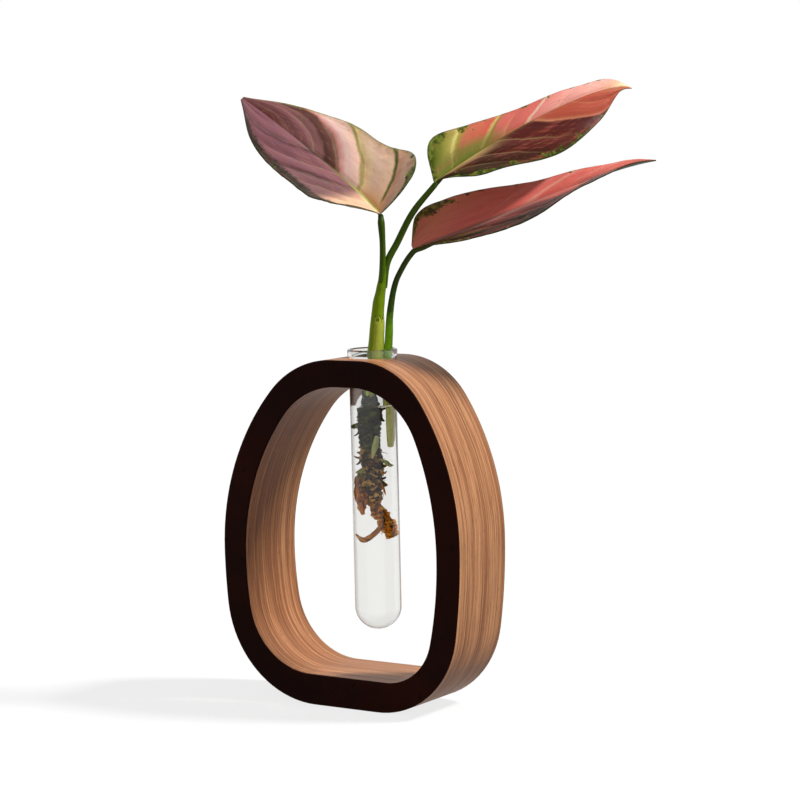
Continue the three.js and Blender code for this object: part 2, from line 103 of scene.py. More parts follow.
class NodeBench:
    """Adds and joins the nodes of one material or node group."""

    # A colour Mix node keeps its colours behind the sockets for numbers and vectors.
    MIX_FIRST = 6
    MIX_SECOND = 7
    MIX_RESULT = 2

    def __init__(self, tree: bpy.types.NodeTree) -> None:
        """Keeps the tree that the nodes go into."""
        self.tree = tree

    def put(self, socket: Socket, value: Socket | float | tuple[float, ...]) -> None:
        """Joins a socket to another, or sets its own value."""
        if isinstance(value, bpy.types.NodeSocket):
            self.tree.links.new(value, socket)
        else:
            socket.default_value = value

    def add(self, kind: str, inputs: dict | None = None, **settings: object) -> bpy.types.Node:
        """Adds one node.

        Args:
            kind: The node's type, without the leading ShaderNode.
            inputs: Values or sockets by the name or number of the input.
            **settings: The node's own properties.

        Returns:
            The new node.
        """
        prefix = "" if kind.startswith("Node") else "ShaderNode"
        node = self.tree.nodes.new(prefix + kind)
        for name, value in settings.items():
            setattr(node, name, value)
        for key, value in (inputs or {}).items():
            self.put(node.inputs[key], value)
        return node

    def math(
        self, operation: str, first: Socket | float, second: Socket | float = 0.0, third: Socket | float = 0.0
    ) -> Socket:
        """Returns the result of a calculation on up to three values."""
        return self.add("Math", {0: first, 1: second, 2: third}, operation=operation).outputs[0]

    def times(self, *values: Socket | float) -> Socket:
        """Returns the product of the values."""
        result = values[0]
        for value in values[1:]:
            result = self.math("MULTIPLY", result, value)
        return result

    def waver(self, value: Socket, reach: float) -> Socket:
        """Returns a noise value shifted to lie round 0, at most about half the reach to each side."""
        return self.math("MULTIPLY_ADD", value, reach, -reach / 2)

    def scaled(self, vector: Socket, scale: tuple[float, float, float]) -> Socket:
        """Returns a vector stretched along each axis."""
        return self.add("VectorMath", {0: vector, 1: scale}, operation="MULTIPLY").outputs[0]

    def noise(self, vector: Socket, scale: Socket | float, detail: float = 3.0, rough: float = 0.5) -> Socket:
        """Returns the value of a noise pattern, from 0 to 1 with its mean near a half."""
        inputs = {"Vector": vector, "Scale": scale, "Detail": detail, "Roughness": rough}
        return self.add("TexNoise", inputs).outputs["Fac"]

    def ease(self, value: Socket, low: Socket | float, high: Socket | float) -> Socket:
        """Returns 0 at low and 1 at high, with a soft change between; high may be the lower of the two."""
        inputs = {"Value": value, "From Min": low, "From Max": high}
        return self.add("MapRange", inputs, interpolation_type="SMOOTHSTEP").outputs["Result"]

    def mix(self, share: Socket | float, first: Socket | Colour, second: Socket | Colour) -> Socket:
        """Returns a mix of two colours."""
        node = self.add("Mix", {0: share}, data_type="RGBA", clamp_factor=True)
        self.put(node.inputs[self.MIX_FIRST], first)
        self.put(node.inputs[self.MIX_SECOND], second)
        return node.outputs[self.MIX_RESULT]

    def ramp(self, value: Socket, stops: Stops) -> Socket:
        """Returns a colour that runs through the stops as the value goes from 0 to 1."""
        node = self.add("ValToRGB", {0: value})
        elements = node.color_ramp.elements
        elements.remove(elements[-1])
        elements[0].position, elements[0].color = stops[0]
        for position, colour in stops[1:]:
            elements.new(position).color = colour
        return node.outputs["Color"]

    def peaks(self, value: Socket, places: tuple[float, ...], width: float) -> Socket:
        """Returns a mask that is white at each of the places and black a width away from them."""
        black, white = (0.0, 0.0, 0.0, 1.0), (1.0, 1.0, 1.0, 1.0)
        stops = [(0.0, black)]
        for place in places:
            stops += [(place - width, black), (place, white), (place + width, black)]
        return self.ramp(value, stops)

    def group(self, tree: bpy.types.NodeTree, inputs: dict | None = None) -> bpy.types.Node:
        """Places a shared group with its own input values."""
        node = self.tree.nodes.new("ShaderNodeGroup")
        node.node_tree = tree
        for name, value in (inputs or {}).items():
            self.put(node.inputs[name], value)
        return node


def new_group(name: str, inputs: dict[str, float], outputs: list[str]) -> tuple[NodeBench, dict, Callable]:
    """Starts a node group that is shared between materials.

    Args:
        name: The group's name.
        inputs: Float inputs and their default values.
        outputs: Names of the float outputs.

    Returns:
        The bench of the group, its input sockets by name, and a function that joins an output.
    """
    tree = bpy.data.node_groups.new(name, "ShaderNodeTree")
    for label, value in inputs.items():
        socket = tree.interface.new_socket(label, in_out="INPUT", socket_type="NodeSocketFloat")
        socket.default_value = value
    for label in outputs:
        tree.interface.new_socket(label, in_out="OUTPUT", socket_type="NodeSocketFloat")
    bench = NodeBench(tree)
    entry = bench.add("NodeGroupInput")
    exit_node = bench.add("NodeGroupOutput")
    sockets = {label: entry.outputs[label] for label in inputs}

    def give(label: str, value: Socket) -> None:
        """Joins one output of the group."""
        bench.put(exit_node.inputs[label], value)

    return bench, sockets, give


def grain_group() -> bpy.types.NodeTree:
    """Builds the grain of a board whose growth layers lie across its depth.

    Returns:
        A group with the tone of the layers, the fine fibres, the thin dark lines between layers and
        the short pores as outputs.
    """
    inputs = {"Broad Per Metre": 90.0, "Layers Per Metre": 950.0, "Fibres Per Metre": 2100.0, "Drift": 1.2}
    bench, given, give = new_group("wood_grain", inputs, ["Tone", "Fibres", "Lines", "Pores"])
    place = bench.add("TexCoord").outputs["Object"]
    parts = bench.add("SeparateXYZ", {0: place})
    drift = bench.times(bench.waver(bench.noise(place, 16.0, 2.0), 1.0), given["Drift"], 2 * MM)
    depth = bench.math("ADD", parts.outputs["Y"], drift)

    def layers(per_metre: Socket | float, along_scale: float, detail: float) -> Socket:
        """Returns noise that changes fast through the layers and slowly along them."""
        vector = bench.add("CombineXYZ", {"Y": bench.times(depth, per_metre)})
        bench.put(vector.inputs["X"], bench.times(parts.outputs["X"], along_scale))
        bench.put(vector.inputs["Z"], bench.times(parts.outputs["Z"], along_scale))
        return bench.noise(vector.outputs[0], 1.0, detail, 0.6)

    broad = layers(given["Broad Per Metre"], 5.0, 2.0)
    narrow = layers(given["Layers Per Metre"], 7.0, 2.0)
    fibres = layers(given["Fibres Per Metre"], 40.0, 2.0)
    tone = bench.math("MULTIPLY_ADD", broad, 0.4, bench.times(narrow, 0.6))
    give("Tone", bench.math("MULTIPLY_ADD", fibres, 0.3, bench.math("SUBTRACT", tone, 0.15)))
    give("Fibres", fibres)
    ends = layers(bench.times(given["Layers Per Metre"], 0.6), 4.0, 1.0)
    give("Lines", bench.ease(bench.math("ABSOLUTE", bench.math("SUBTRACT", ends, 0.46)), 0.035, 0.01))
    pores = layers(bench.times(given["Fibres Per Metre"], 1.4), 170.0, 1.0)
    give("Pores", bench.ease(pores, 0.64, 0.72))
    return bench.tree


def leaf_group() -> bpy.types.NodeTree:
    """Builds the map of a leaf from its UV: across from margin to margin, and along from base to tip.

    Returns:
        A group with places on the blade and masks of the midrib, blotches, streaks and specks as outputs.
    """
    inputs = {
        "Seed": 0.0,
        "Midrib Width": 0.045,
        "Base Blotch": 0.3,
        "Margin Blotch": 0.3,
        "Corner Blotch": 0.0,
        "Blotch Level": 0.75,
    }
    outputs = ["Along", "Wavering", "Out", "Left", "Midrib", "Blotches", "Streaks", "Mottle", "Specks"]
    bench, given, give = new_group("leaf_map", inputs, outputs)
    uv = bench.add("SeparateXYZ", {0: bench.add("UVMap").outputs[0]})
    along = uv.outputs["Y"]
    across = bench.math("MULTIPLY_ADD", uv.outputs["X"], 2.0, -1.0)
    out = bench.math("ABSOLUTE", across)
    place = bench.add("TexCoord").outputs["Object"]
    shift = bench.add("CombineXYZ", {"X": given["Seed"], "Y": given["Seed"]}).outputs[0]
    spot = bench.add("VectorMath", {0: place, 1: shift}, operation="ADD").outputs[0]

    give("Along", along)
    give("Out", out)
    give("Left", bench.math("GREATER_THAN", across, 0.0))
    give("Wavering", bench.math("ADD", along, bench.waver(bench.noise(spot, 75.0, 4.0, 0.6), 0.06)))
    width = bench.times(given["Midrib Width"], bench.ease(along, 1.15, -0.1))
    give("Midrib", bench.ease(out, width, bench.times(width, 0.5)))
    base_pull = bench.times(bench.ease(along, 0.4, 0.0), given["Base Blotch"])
    margin_pull = bench.times(bench.ease(out, 0.6, 1.0), given["Margin Blotch"])
    corner = bench.times(bench.ease(along, 0.3, 0.02), bench.ease(out, 0.5, 0.95))
    corner_pull = bench.times(corner, given["Corner Blotch"])
    pull = bench.math("ADD", bench.math("ADD", base_pull, margin_pull), corner_pull)
    level = bench.math("ADD", bench.noise(spot, 150.0, 6.0, 0.65), pull)
    top = bench.math("ADD", given["Blotch Level"], 0.05)
    give("Blotches", bench.ease(level, given["Blotch Level"], top))
    flow = bench.add("CombineXYZ", {"X": bench.times(across, 7.0), "Y": bench.times(along, 3.0)})
    bench.put(flow.inputs["Z"], given["Seed"])
    give("Streaks", bench.noise(flow.outputs[0], 1.8, 5.0, 0.6))
    give("Mottle", bench.noise(spot, 320.0, 5.0, 0.65))
    give("Specks", bench.ease(bench.noise(spot, 460.0, 2.0, 0.5), 0.68, 0.76))
    return bench.tree


def skin_group() -> bpy.types.NodeTree:
    """Builds the skin of a stem or root from its UV, round it and along it, and from its relief.

    Returns:
        A group with the share of the way along, lengthwise fibres, a mottle, grime and masks of the
        crests and hollows of the relief as outputs.
    """
    inputs = {"Fibres Round": 26.0, "Mottle Per Metre": 650.0}
    outputs = ["Along", "Fibres", "Mottle", "Grime", "Crests", "Hollows"]
    bench, given, give = new_group("plant_skin", inputs, outputs)
    uv = bench.add("SeparateXYZ", {0: bench.add("UVMap").outputs[0]})
    around = bench.times(uv.outputs["X"], TURN)
    ring = bench.add("CombineXYZ", {"X": bench.math("COSINE", around), "Y": bench.math("SINE", around)})
    bench.put(ring.inputs["Z"], bench.times(uv.outputs["Y"], 0.8))
    give("Fibres", bench.noise(ring.outputs[0], bench.times(given["Fibres Round"], 0.16), 3.0, 0.6))
    place = bench.add("TexCoord").outputs["Object"]
    give("Mottle", bench.noise(place, given["Mottle Per Metre"], 4.0, 0.6))
    grime = bench.noise(place, 170.0, 5.0, 0.62)
    give("Grime", grime)
    relief = bench.add("Attribute", attribute_name=RELIEF).outputs["Fac"]
    rough = bench.math("ADD", relief, bench.waver(grime, 0.3))
    # Crests and Hollows follow the relief, so on knobby limbs they carry painted highlight on knob tops and
    # painted shade between knobs.
    give("Crests", bench.ease(rough, 0.6, 0.86))
    give("Hollows", bench.ease(rough, 0.5, 0.22))
    give("Along", uv.outputs["Y"])
    return bench.tree


GRAIN = grain_group()
LEAF_MAP = leaf_group()
SKIN = skin_group()


def start_material(name: str) -> tuple[bpy.types.Material, NodeBench, bpy.types.Node]:
    """Starts a material with one Principled shader.

    Args:
        name: The material's name.

    Returns:
        The material, its bench and its shader.
    """
    material = bpy.data.materials.new(name)
    material.use_nodes = True
    material.node_tree.nodes.clear()
    bench = NodeBench(material.node_tree)
    shader = bench.add("BsdfPrincipled")
    output = bench.add("OutputMaterial")
    bench.put(output.inputs["Surface"], shader.outputs["BSDF"])
    return material, bench, shader


@dataclass(frozen=True)
class WoodFinish:
    """A satin finish on a planed board."""

    name: str
    dark: Colour
    middle: Colour
    light: Colour
    pore: Colour
    roughness: float
    shine: float
    coat: float
    coat_roughness: float
    bump: float

    def material(self) -> bpy.types.Material:
        """Builds the material: layers and fibres colour the wood, pores darken and roughen it."""
        material, bench, shader = start_material(self.name)
        grain = bench.group(GRAIN).outputs
        tone = bench.ramp(grain["Tone"], [(0.37, self.dark), (0.5, self.middle), (0.65, self.light)])
        streaks = bench.times(bench.ease(grain["Fibres"], 0.5, 0.36), 0.3)
        tone = bench.mix(streaks, tone, self.dark)
        tone = bench.mix(bench.times(grain["Lines"], 0.45), tone, self.dark)
        tone = bench.mix(bench.times(grain["Pores"], 0.65), tone, self.pore)
        bench.put(shader.inputs["Base Color"], tone)
        rough = bench.math("MULTIPLY_ADD", grain["Fibres"], 0.16, self.roughness - 0.08)
        bench.put(shader.inputs["Roughness"], rough)
        shader.inputs["Specular IOR Level"].default_value = self.shine
        shader.inputs["Coat Weight"].default_value = self.coat
        shader.inputs["Coat Roughness"].default_value = self.coat_roughness
        height = bench.math("SUBTRACT", bench.times(grain["Fibres"], 0.5), grain["Pores"])
        bump = bench.add("Bump", {"Height": height, "Strength": self.bump, "Distance": 0.08 * MM})
        bench.put(shader.inputs["Normal"], bump.outputs["Normal"])
        return material


@dataclass(frozen=True)
class ClearFinish:
    """Glass or water that bends light and lets the lamps through."""

    name: str
    tint: Colour
    painted_edge_shade: Colour
    bends: float
    shine: float = 0.5

    def material(self) -> bpy.types.Material:
        """Builds the material: smooth refraction, with painted shade deepening its tone where it is seen
        edge-on.

        Rays from lamps have a clear way through.
        """
        material, bench, shader = start_material(self.name)
        place = bench.add("TexCoord").outputs["Object"]
        faint = bench.math("MULTIPLY", bench.noise(place, 60.0, 2.0), 0.02)
        slant = bench.add("LayerWeight", {"Blend": 0.5}).outputs["Facing"]
        # Painted shade towards the edges, standing in for the dark edges that refraction of darker
        # surroundings gives the tube.
        tint = bench.mix(bench.ease(slant, 0.4, 0.95), self.tint, self.painted_edge_shade)
        bench.put(shader.inputs["Base Color"], tint)
        bench.put(shader.inputs["Roughness"], bench.ease(faint, 0.0, 4.0))
        shader.inputs["Specular IOR Level"].default_value = self.shine
        shader.inputs["IOR"].default_value = self.bends
        shader.inputs["Transmission Weight"].default_value = 1.0
        clear = bench.add("BsdfTransparent", {"Color": self.tint})
        path = bench.add("LightPath")
        mixed = bench.add("MixShader", {0: path.outputs["Is Shadow Ray"]})
        bench.put(mixed.inputs[1], shader.outputs["BSDF"])
        bench.put(mixed.inputs[2], clear.outputs["BSDF"])
        output = next(node for node in bench.tree.nodes if node.bl_idname == "ShaderNodeOutputMaterial")
        bench.put(output.inputs["Surface"], mixed.outputs[0])
        return material


@dataclass(frozen=True)
class SkinFinish:
    """The skin of a stem or root: tones from its lower to its upper end, with crests and hollows coloured as
    painted highlight and shade on knobby skins.
    """

    name: str
    tones: Stops
    fibre: Colour
    stain: Colour
    stain_share: float
    # crest and hollow colour the relief's crests and hollows: on knobby limbs a painted highlight on knob
    # tops and painted shade between knobs; on the sheath the pale sleeve and the dark line at its torn edge;
    # on smooth limbs random patches.
    crest: Colour
    hollow: Colour
    roughness: float
    bump: float
    shine: float = 0.1

    def material(self) -> bpy.types.Material:
        """Builds the material: tones along the limb, fibres along it, stains, and crests and hollows that
        paint highlight and shade.
        """
        material, bench, shader = start_material(self.name)
        skin = bench.group(SKIN).outputs
        along = bench.math("ADD", skin["Along"], bench.waver(skin["Grime"], 0.2))
        tone = bench.ramp(along, self.tones)
        tone = bench.mix(bench.times(bench.ease(skin["Fibres"], 0.5, 0.7), 0.55), tone, self.fibre)
        level = 0.72 - 0.3 * self.stain_share
        tone = bench.mix(bench.ease(skin["Grime"], level, level + 0.1), tone, self.stain)
        # Painted highlight on crests and painted shade in hollows, where the relief follows knobs.
        tone = bench.mix(bench.times(skin["Crests"], 0.8), tone, self.crest)
        tone = bench.mix(bench.times(skin["Hollows"], 0.9), tone, self.hollow)
        fleck = bench.times(bench.ease(skin["Mottle"], 0.54, 0.7), 0.3)
        tone = bench.mix(fleck, tone, self.fibre)
        bench.put(shader.inputs["Base Color"], tone)
        rough = bench.math("MULTIPLY_ADD", skin["Mottle"], 0.2, self.roughness - 0.1)
        bench.put(shader.inputs["Roughness"], rough)
        shader.inputs["Specular IOR Level"].default_value = self.shine
        height = bench.math("MULTIPLY_ADD", skin["Mottle"], 0.5, skin["Fibres"])
        bump = bench.add("Bump", {"Height": height, "Strength": self.bump, "Distance": 0.25 * MM})
        bench.put(shader.inputs["Normal"], bump.outputs["Normal"])
        return material


@dataclass(frozen=True)
class HalfPattern:
    """Where the side veins of a half blade leave the midrib, and the tones along the blade.

    A tone follows the side veins: it lies at the share of the way along the midrib where its vein starts.
    """

    veins: tuple[float, ...]
    sweep: float
    bend: float
    # Tones may carry painted light and shade as well as the blade's own colours.
    tones: Stops
    rib_tone: Colour
    rib_reach: float
    rib_end: float
    margin_tone: Colour
    margin_share: float
    margin_from: float = 0.78
    fine_veins: float = 26.0

    def swept_to(self, along: float, out: float) -> float:
        """Returns where on the midrib the vein starts that passes through a place on the blade."""
        return along - self.sweep * out**self.bend

    def swell(self, along: float, out: float) -> float:
        """Returns 0 on the veins and 1 midway between them."""
        start = self.swept_to(along, out)
        bounds = [-0.12, *self.veins, 1.1]
        for low, high in zip(bounds, bounds[1:]):
            if low <= start < high:
                return math.sin(math.pi * (start - low) / (high - low))
        return 0.0

    def swept(self, bench: NodeBench, leaf: dict[str, Socket]) -> Socket:
        """Returns the same place as swept_to, in a material."""
        bow = bench.times(bench.math("POWER", leaf["Out"], self.bend), self.sweep)
        return bench.math("SUBTRACT", leaf["Wavering"], bow)

    def tone(self, bench: NodeBench, leaf: dict[str, Socket]) -> Socket:
        """Returns the half blade's colour without its veins."""
        tone = bench.ramp(self.swept(bench, leaf), self.tones)
        near = bench.ease(leaf["Out"], self.rib_reach, self.rib_reach * 0.2)
        early = bench.ease(leaf["Wavering"], self.rib_end, self.rib_end * 0.6)
        tone = bench.mix(bench.times(near, early), tone, self.rib_tone)
        ragged = bench.math("ADD", leaf["Out"], bench.waver(leaf["Mottle"], 0.3))
        inner = self.margin_from
        margin = bench.times(bench.ease(ragged, inner, inner + 0.12), self.margin_share)
        return bench.mix(margin, tone, self.margin_tone)

    def vein_mask(self, bench: NodeBench, leaf: dict[str, Socket]) -> Socket:
        """Returns a mask of the side veins and faint finer ones, which thin out towards margin and tip."""
        half_width = 0.011
        swept = self.swept(bench, leaf)
        mask = bench.peaks(swept, self.veins, half_width)
        fade = bench.times(bench.ease(leaf["Out"], 1.0, 0.4), bench.ease(leaf["Along"], 1.0, 0.45))
        wave = bench.math("SINE", bench.times(swept, TURN * self.fine_veins))
        fine = bench.times(bench.ease(wave, 0.55, 1.0), bench.ease(leaf["Streaks"], 0.42, 0.62), 0.3)
        return bench.math("MAXIMUM", bench.times(mask, fade), fine)


@dataclass(frozen=True)
class LeafFinish:
    """The upper face of a variegated leaf."""

    name: str
    left: HalfPattern
    right: HalfPattern
    streak: Colour
    streak_share: float
    blotch: Colour
    deep_blotch: Colour
    vein: Colour
    vein_share: float
    midrib: Colour
    midrib_tip: Colour
    seed: float
    base_blotch: float
    margin_blotch: float
    corner_blotch: float
    blotch_level: float
    roughness: float = 0.36
    shine: float = 0.08
    glow_through: float = 0.35

    def material(self) -> bpy.types.Material:
        """Builds the material: tones of both halves, streaks, green blotches, veins and midrib."""
        material, bench, shader = start_material(self.name)
        inputs = {
            "Seed": self.seed,
            "Base Blotch": self.base_blotch,
            "Margin Blotch": self.margin_blotch,
            "Corner Blotch": self.corner_blotch,
            "Blotch Level": self.blotch_level,
        }
        leaf = bench.group(LEAF_MAP, inputs).outputs
        right_tone, left_tone = self.right.tone(bench, leaf), self.left.tone(bench, leaf)
        tone = bench.mix(leaf["Left"], right_tone, left_tone)
        streaks = bench.times(bench.ease(leaf["Streaks"], 0.5, 0.64), self.streak_share)
        tone = bench.mix(streaks, tone, self.streak)
        right_veins, left_veins = self.right.vein_mask(bench, leaf), self.left.vein_mask(bench, leaf)
        veins = bench.mix(leaf["Left"], right_veins, left_veins)
        tone = bench.mix(bench.times(veins, self.vein_share), tone, self.vein)
        green = bench.mix(bench.ease(leaf["Mottle"], 0.42, 0.58), self.deep_blotch, self.blotch)
        tone = bench.mix(bench.times(leaf["Blotches"], 0.92), tone, green)
        tone = bench.mix(bench.times(leaf["Specks"], 0.4), tone, self.blotch)
        rib = bench.mix(bench.ease(leaf["Along"], 0.25, 0.7), self.midrib, self.midrib_tip)
        tone = bench.mix(leaf["Midrib"], tone, rib)
        edge = bench.times(bench.ease(leaf["Out"], 0.962, 1.0), 0.85)
        tone = bench.mix(edge, tone, self.deep_blotch)
        bench.put(shader.inputs["Base Color"], tone)
        rough = bench.math("MULTIPLY_ADD", leaf["Mottle"], 0.24, self.roughness - 0.12)
        bench.put(shader.inputs["Roughness"], rough)
        shader.inputs["Specular IOR Level"].default_value = self.shine
        shader.inputs["Subsurface Weight"].default_value = self.glow_through
        shader.inputs["Subsurface Scale"].default_value = 1 * MM
        relief = bench.math("SUBTRACT", bench.times(leaf["Mottle"], 0.4), veins)
        bump = bench.add("Bump", {"Height": relief, "Strength": 0.4, "Distance": 0.3 * MM})
        bench.put(shader.inputs["Normal"], bump.outputs["Normal"])
        return material


@dataclass(frozen=True)
class UndersideFinish:
    """The paler, duller lower face of a leaf."""

    name: str
    left: HalfPattern
    right: HalfPattern
    near_rib: Colour
    far: Colour
    vein: Colour
    seed: float

    def material(self) -> bpy.types.Material:
        """Builds the material from the leaf's own map."""
        material, bench, shader = start_material(self.name)
        leaf = bench.group(LEAF_MAP, {"Seed": self.seed}).outputs
        tone = bench.mix(bench.ease(leaf["Streaks"], 0.4, 0.62), self.near_rib, self.far)
        right_veins, left_veins = self.right.vein_mask(bench, leaf), self.left.vein_mask(bench, leaf)
        veins = bench.mix(leaf["Left"], right_veins, left_veins)
        tone = bench.mix(bench.times(veins, 0.6), tone, self.vein)
        tone = bench.mix(leaf["Midrib"], tone, self.vein)
        bench.put(shader.inputs["Base Color"], tone)
        rough = bench.math("MULTIPLY_ADD", leaf["Mottle"], 0.2, 0.45)
        bench.put(shader.inputs["Roughness"], rough)
        relief = bench.math("MULTIPLY_ADD", leaf["Mottle"], 0.3, veins)
        bump = bench.add("Bump", {"Height": relief, "Strength": 0.4, "Distance": 0.3 * MM})
        bench.put(shader.inputs["Normal"], bump.outputs["Normal"])
        return material


WALNUT = WoodFinish(
    name="oiled_walnut",
    dark=screen(118, 70, 42),
    middle=screen(168, 112, 72),
    light=screen(206, 150, 106),
    pore=screen(88, 48, 30),
    roughness=0.52,
    shine=0.1,
    coat=0.15,
    coat_roughness=0.3,
    bump=0.5,
)
# Painted shade: a near-black colour for the ring's flat front and back faces, which stand in shade.
SHADE_PAINTED_FACES = WoodFinish(
    name="painted_shade_faces",
    dark=screen(24, 7, 4),
    middle=screen(36, 12, 7),
    light=screen(52, 20, 12),
    pore=screen(14, 4, 2),
    roughness=0.55,
    shine=0.04,
    coat=0.0,
    coat_roughness=0.3,
    bump=0.4,
)
NO_TINT = (1.0, 1.0, 1.0, 1.0)
WATER_TINT = (0.985, 0.985, 0.97, 1.0)
# GLASS carries painted shade along its edges, where it is seen edge-on.
GLASS = ClearFinish(
    name="clear_glass", tint=(0.84, 0.84, 0.83, 1.0), painted_edge_shade=(0.3, 0.29, 0.28, 1.0), bends=1.47, shine=0.08
)
WET_GLASS = ClearFinish(name="wet_glass", tint=NO_TINT, painted_edge_shade=NO_TINT, bends=1.105, shine=0.1)
WATER_SURFACE = ClearFinish(name="water_surface", tint=NO_TINT, painted_edge_shade=NO_TINT, bends=1.333)
WATER_SIDE = ClearFinish(name="water_side", tint=WATER_TINT, painted_edge_shade=WATER_TINT, bends=1.0)


# Tones paint light and shade over the blade's own peach and mauve: bright peach towards the base where light
# falls, a painted shadow band from 0.55 to 0.61, and painted shade darkening towards the tip.
MAUVE_UPPER = HalfPattern(
    veins=(0.13, 0.38, 0.55, 0.68, 0.8),
    sweep=0.3,
    bend=1.25,
    tones=[
        (0.0, screen(225, 188, 161)),
        (0.115, screen(253, 193, 159)),
        (0.13, screen(70, 88, 26)),
        (0.145, screen(92, 108, 40)),
        (0.16, screen(255, 208, 172)),
        (0.28, screen(255, 212, 186)),
        (0.368, screen(255, 220, 160)),
        (0.385, screen(150, 146, 62)),
        (0.41, screen(255, 208, 187)),
        (0.49, screen(255, 210, 198)),
        (0.525, screen(226, 158, 148)),
        (0.55, screen(104, 64, 56)),
        (0.61, screen(88, 54, 48)),
        (0.64, screen(146, 100, 98)),
        (0.72, screen(124, 78, 80)),
        (0.78, screen(110, 66, 68)),
        (0.83, screen(92, 46, 44)),
        (0.95, screen(80, 38, 36)),
        (1.0, screen(108, 66, 66)),
    ],
    rib_tone=screen(232, 188, 138),
    rib_reach=0.28,
    rib_end=0.45,
    margin_tone=screen(176, 172, 92),
    margin_share=0.7,
    margin_from=0.9,
)
MAUVE_LOWER = HalfPattern(
    veins=(0.1, 0.24, 0.38, 0.52, 0.69, 0.84),
    sweep=0.42,
    bend=1.1,
    tones=[
        (0.0, screen(136, 96, 94)),
        (0.2, screen(130, 92, 92)),
        (0.35, screen(122, 82, 86)),
        (0.38, screen(80, 47, 55)),
        (0.42, screen(134, 88, 94)),
        (0.62, screen(128, 82, 89)),
        (0.67, screen(84, 47, 56)),
        (0.71, screen(142, 96, 102)),
        (0.84, screen(134, 84, 95)),
        (1.0, screen(136, 88, 97)),
    ],
    rib_tone=screen(246, 196, 162),
    rib_reach=2.4,
    rib_end=0.42,
    margin_tone=screen(38, 34, 22),
    margin_share=0.95,
    margin_from=0.76,
)
SALMON_UPPER = HalfPattern(
    veins=(0.14, 0.285, 0.37, 0.462, 0.58, 0.7),
    sweep=0.12,
    bend=1.0,
    tones=[
        (0.0, screen(81, 94, 19)),
        (0.06, screen(127, 132, 46)),
        (0.128, screen(190, 178, 90)),
        (0.145, screen(255, 240, 151)),
        (0.16, screen(182, 178, 74)),
        (0.185, screen(220, 132, 98)),
        (0.278, screen(224, 108, 90)),
        (0.29, screen(240, 216, 125)),
        (0.302, screen(168, 139, 74)),
        (0.318, screen(226, 118, 106)),
        (0.452, screen(232, 120, 110)),
        (0.465, screen(255, 225, 198)),
        (0.478, screen(250, 150, 139)),
        (0.58, screen(255, 176, 162)),
        (0.72, screen(255, 186, 170)),
        (0.81, screen(243, 178, 145)),
        (0.87, screen(249, 216, 172)),
        (0.96, screen(245, 223, 181)),
        (1.0, screen(112, 109, 88)),
    ],
    rib_tone=screen(132, 140, 60),
    rib_reach=0.6,
    rib_end=0.45,
    margin_tone=screen(236, 176, 132),
    margin_share=0.4,
    margin_from=0.9,
)
# Tones up to 0.475 are painted shade, dark red and brown where the half blade turns from the light; from the
# vein at 0.495 on, the blade's own salmon and peach.
SALMON_LOWER = HalfPattern(
    veins=(0.08, 0.2, 0.34, 0.495, 0.64, 0.78),
    sweep=0.3,
    bend=1.2,
    tones=[
        (0.0, screen(62, 38, 17)),
        (0.1, screen(65, 32, 17)),
        (0.2, screen(70, 30, 20)),
        (0.3, screen(96, 40, 32)),
        (0.42, screen(92, 34, 30)),
        (0.475, screen(76, 26, 24)),
        (0.495, screen(204, 116, 89)),
        (0.52, screen(190, 89, 67)),
        (0.7, screen(195, 94, 73)),
        (0.82, screen(203, 123, 87)),
        (0.9, screen(209, 159, 112)),
        (1.0, screen(130, 103, 71)),
    ],
    rib_tone=screen(196, 168, 112),
    rib_reach=0.34,
    rib_end=0.4,
    margin_tone=screen(60, 76, 20),
    margin_share=0.9,
    margin_from=0.9,
)
CORAL_UPPER = HalfPattern(
    veins=(0.1, 0.24, 0.4, 0.55, 0.7),
    sweep=0.22,
    bend=1.0,
    tones=[
        (0.0, screen(255, 150, 124)),
        (0.1, screen(255, 136, 124)),
        (0.38, screen(255, 128, 118)),
        (0.41, screen(255, 171, 146)),
        (0.45, screen(247, 121, 109)),
        (0.7, screen(245, 132, 116)),
        (0.78, screen(214, 102, 90)),
        (0.86, screen(141, 72, 58)),
        (1.0, screen(92, 63, 44)),
    ],
    rib_tone=screen(206, 122, 104),
    rib_reach=0.1,
    rib_end=0.5,
    margin_tone=screen(196, 168, 84),
    margin_share=0.6,
    margin_from=0.93,
)
CORAL_LOWER = HalfPattern(
    veins=(0.1, 0.24, 0.4, 0.55, 0.7),
    sweep=0.36,
    bend=1.1,
    tones=[
        (0.0, screen(87, 72, 29)),
        (0.1, screen(81, 48, 33)),
        (0.2, screen(101, 53, 46)),
        (0.368, screen(106, 58, 52)),
        (0.42, screen(225, 118, 104)),
        (0.52, screen(216, 110, 97)),
        (0.6, screen(97, 59, 49)),
        (1.0, screen(61, 42, 30)),
    ],
    rib_tone=screen(170, 118, 108),
    rib_reach=0.3,
    rib_end=0.6,
    # margin_tone paints near-black shade over the outer half, for the edge that curls from the light.
    margin_tone=screen(44, 32, 20),
    margin_share=0.95,
    margin_from=0.55,
)
MAUVE_LEAF = LeafFinish(
    name="mauve_leaf",
    left=MAUVE_UPPER,
    right=MAUVE_LOWER,
    streak=screen(178, 116, 110),
    streak_share=0.16,
    blotch=screen(132, 150, 62),
    deep_blotch=screen(52, 62, 24),
    vein=screen(196, 176, 126),
    vein_share=0.35,
    midrib=screen(206, 202, 116),
    midrib_tip=screen(66, 62, 34),
    seed=1.3,
    base_blotch=0.06,
    margin_blotch=0.14,
    corner_blotch=0.46,
    blotch_level=0.75,
)
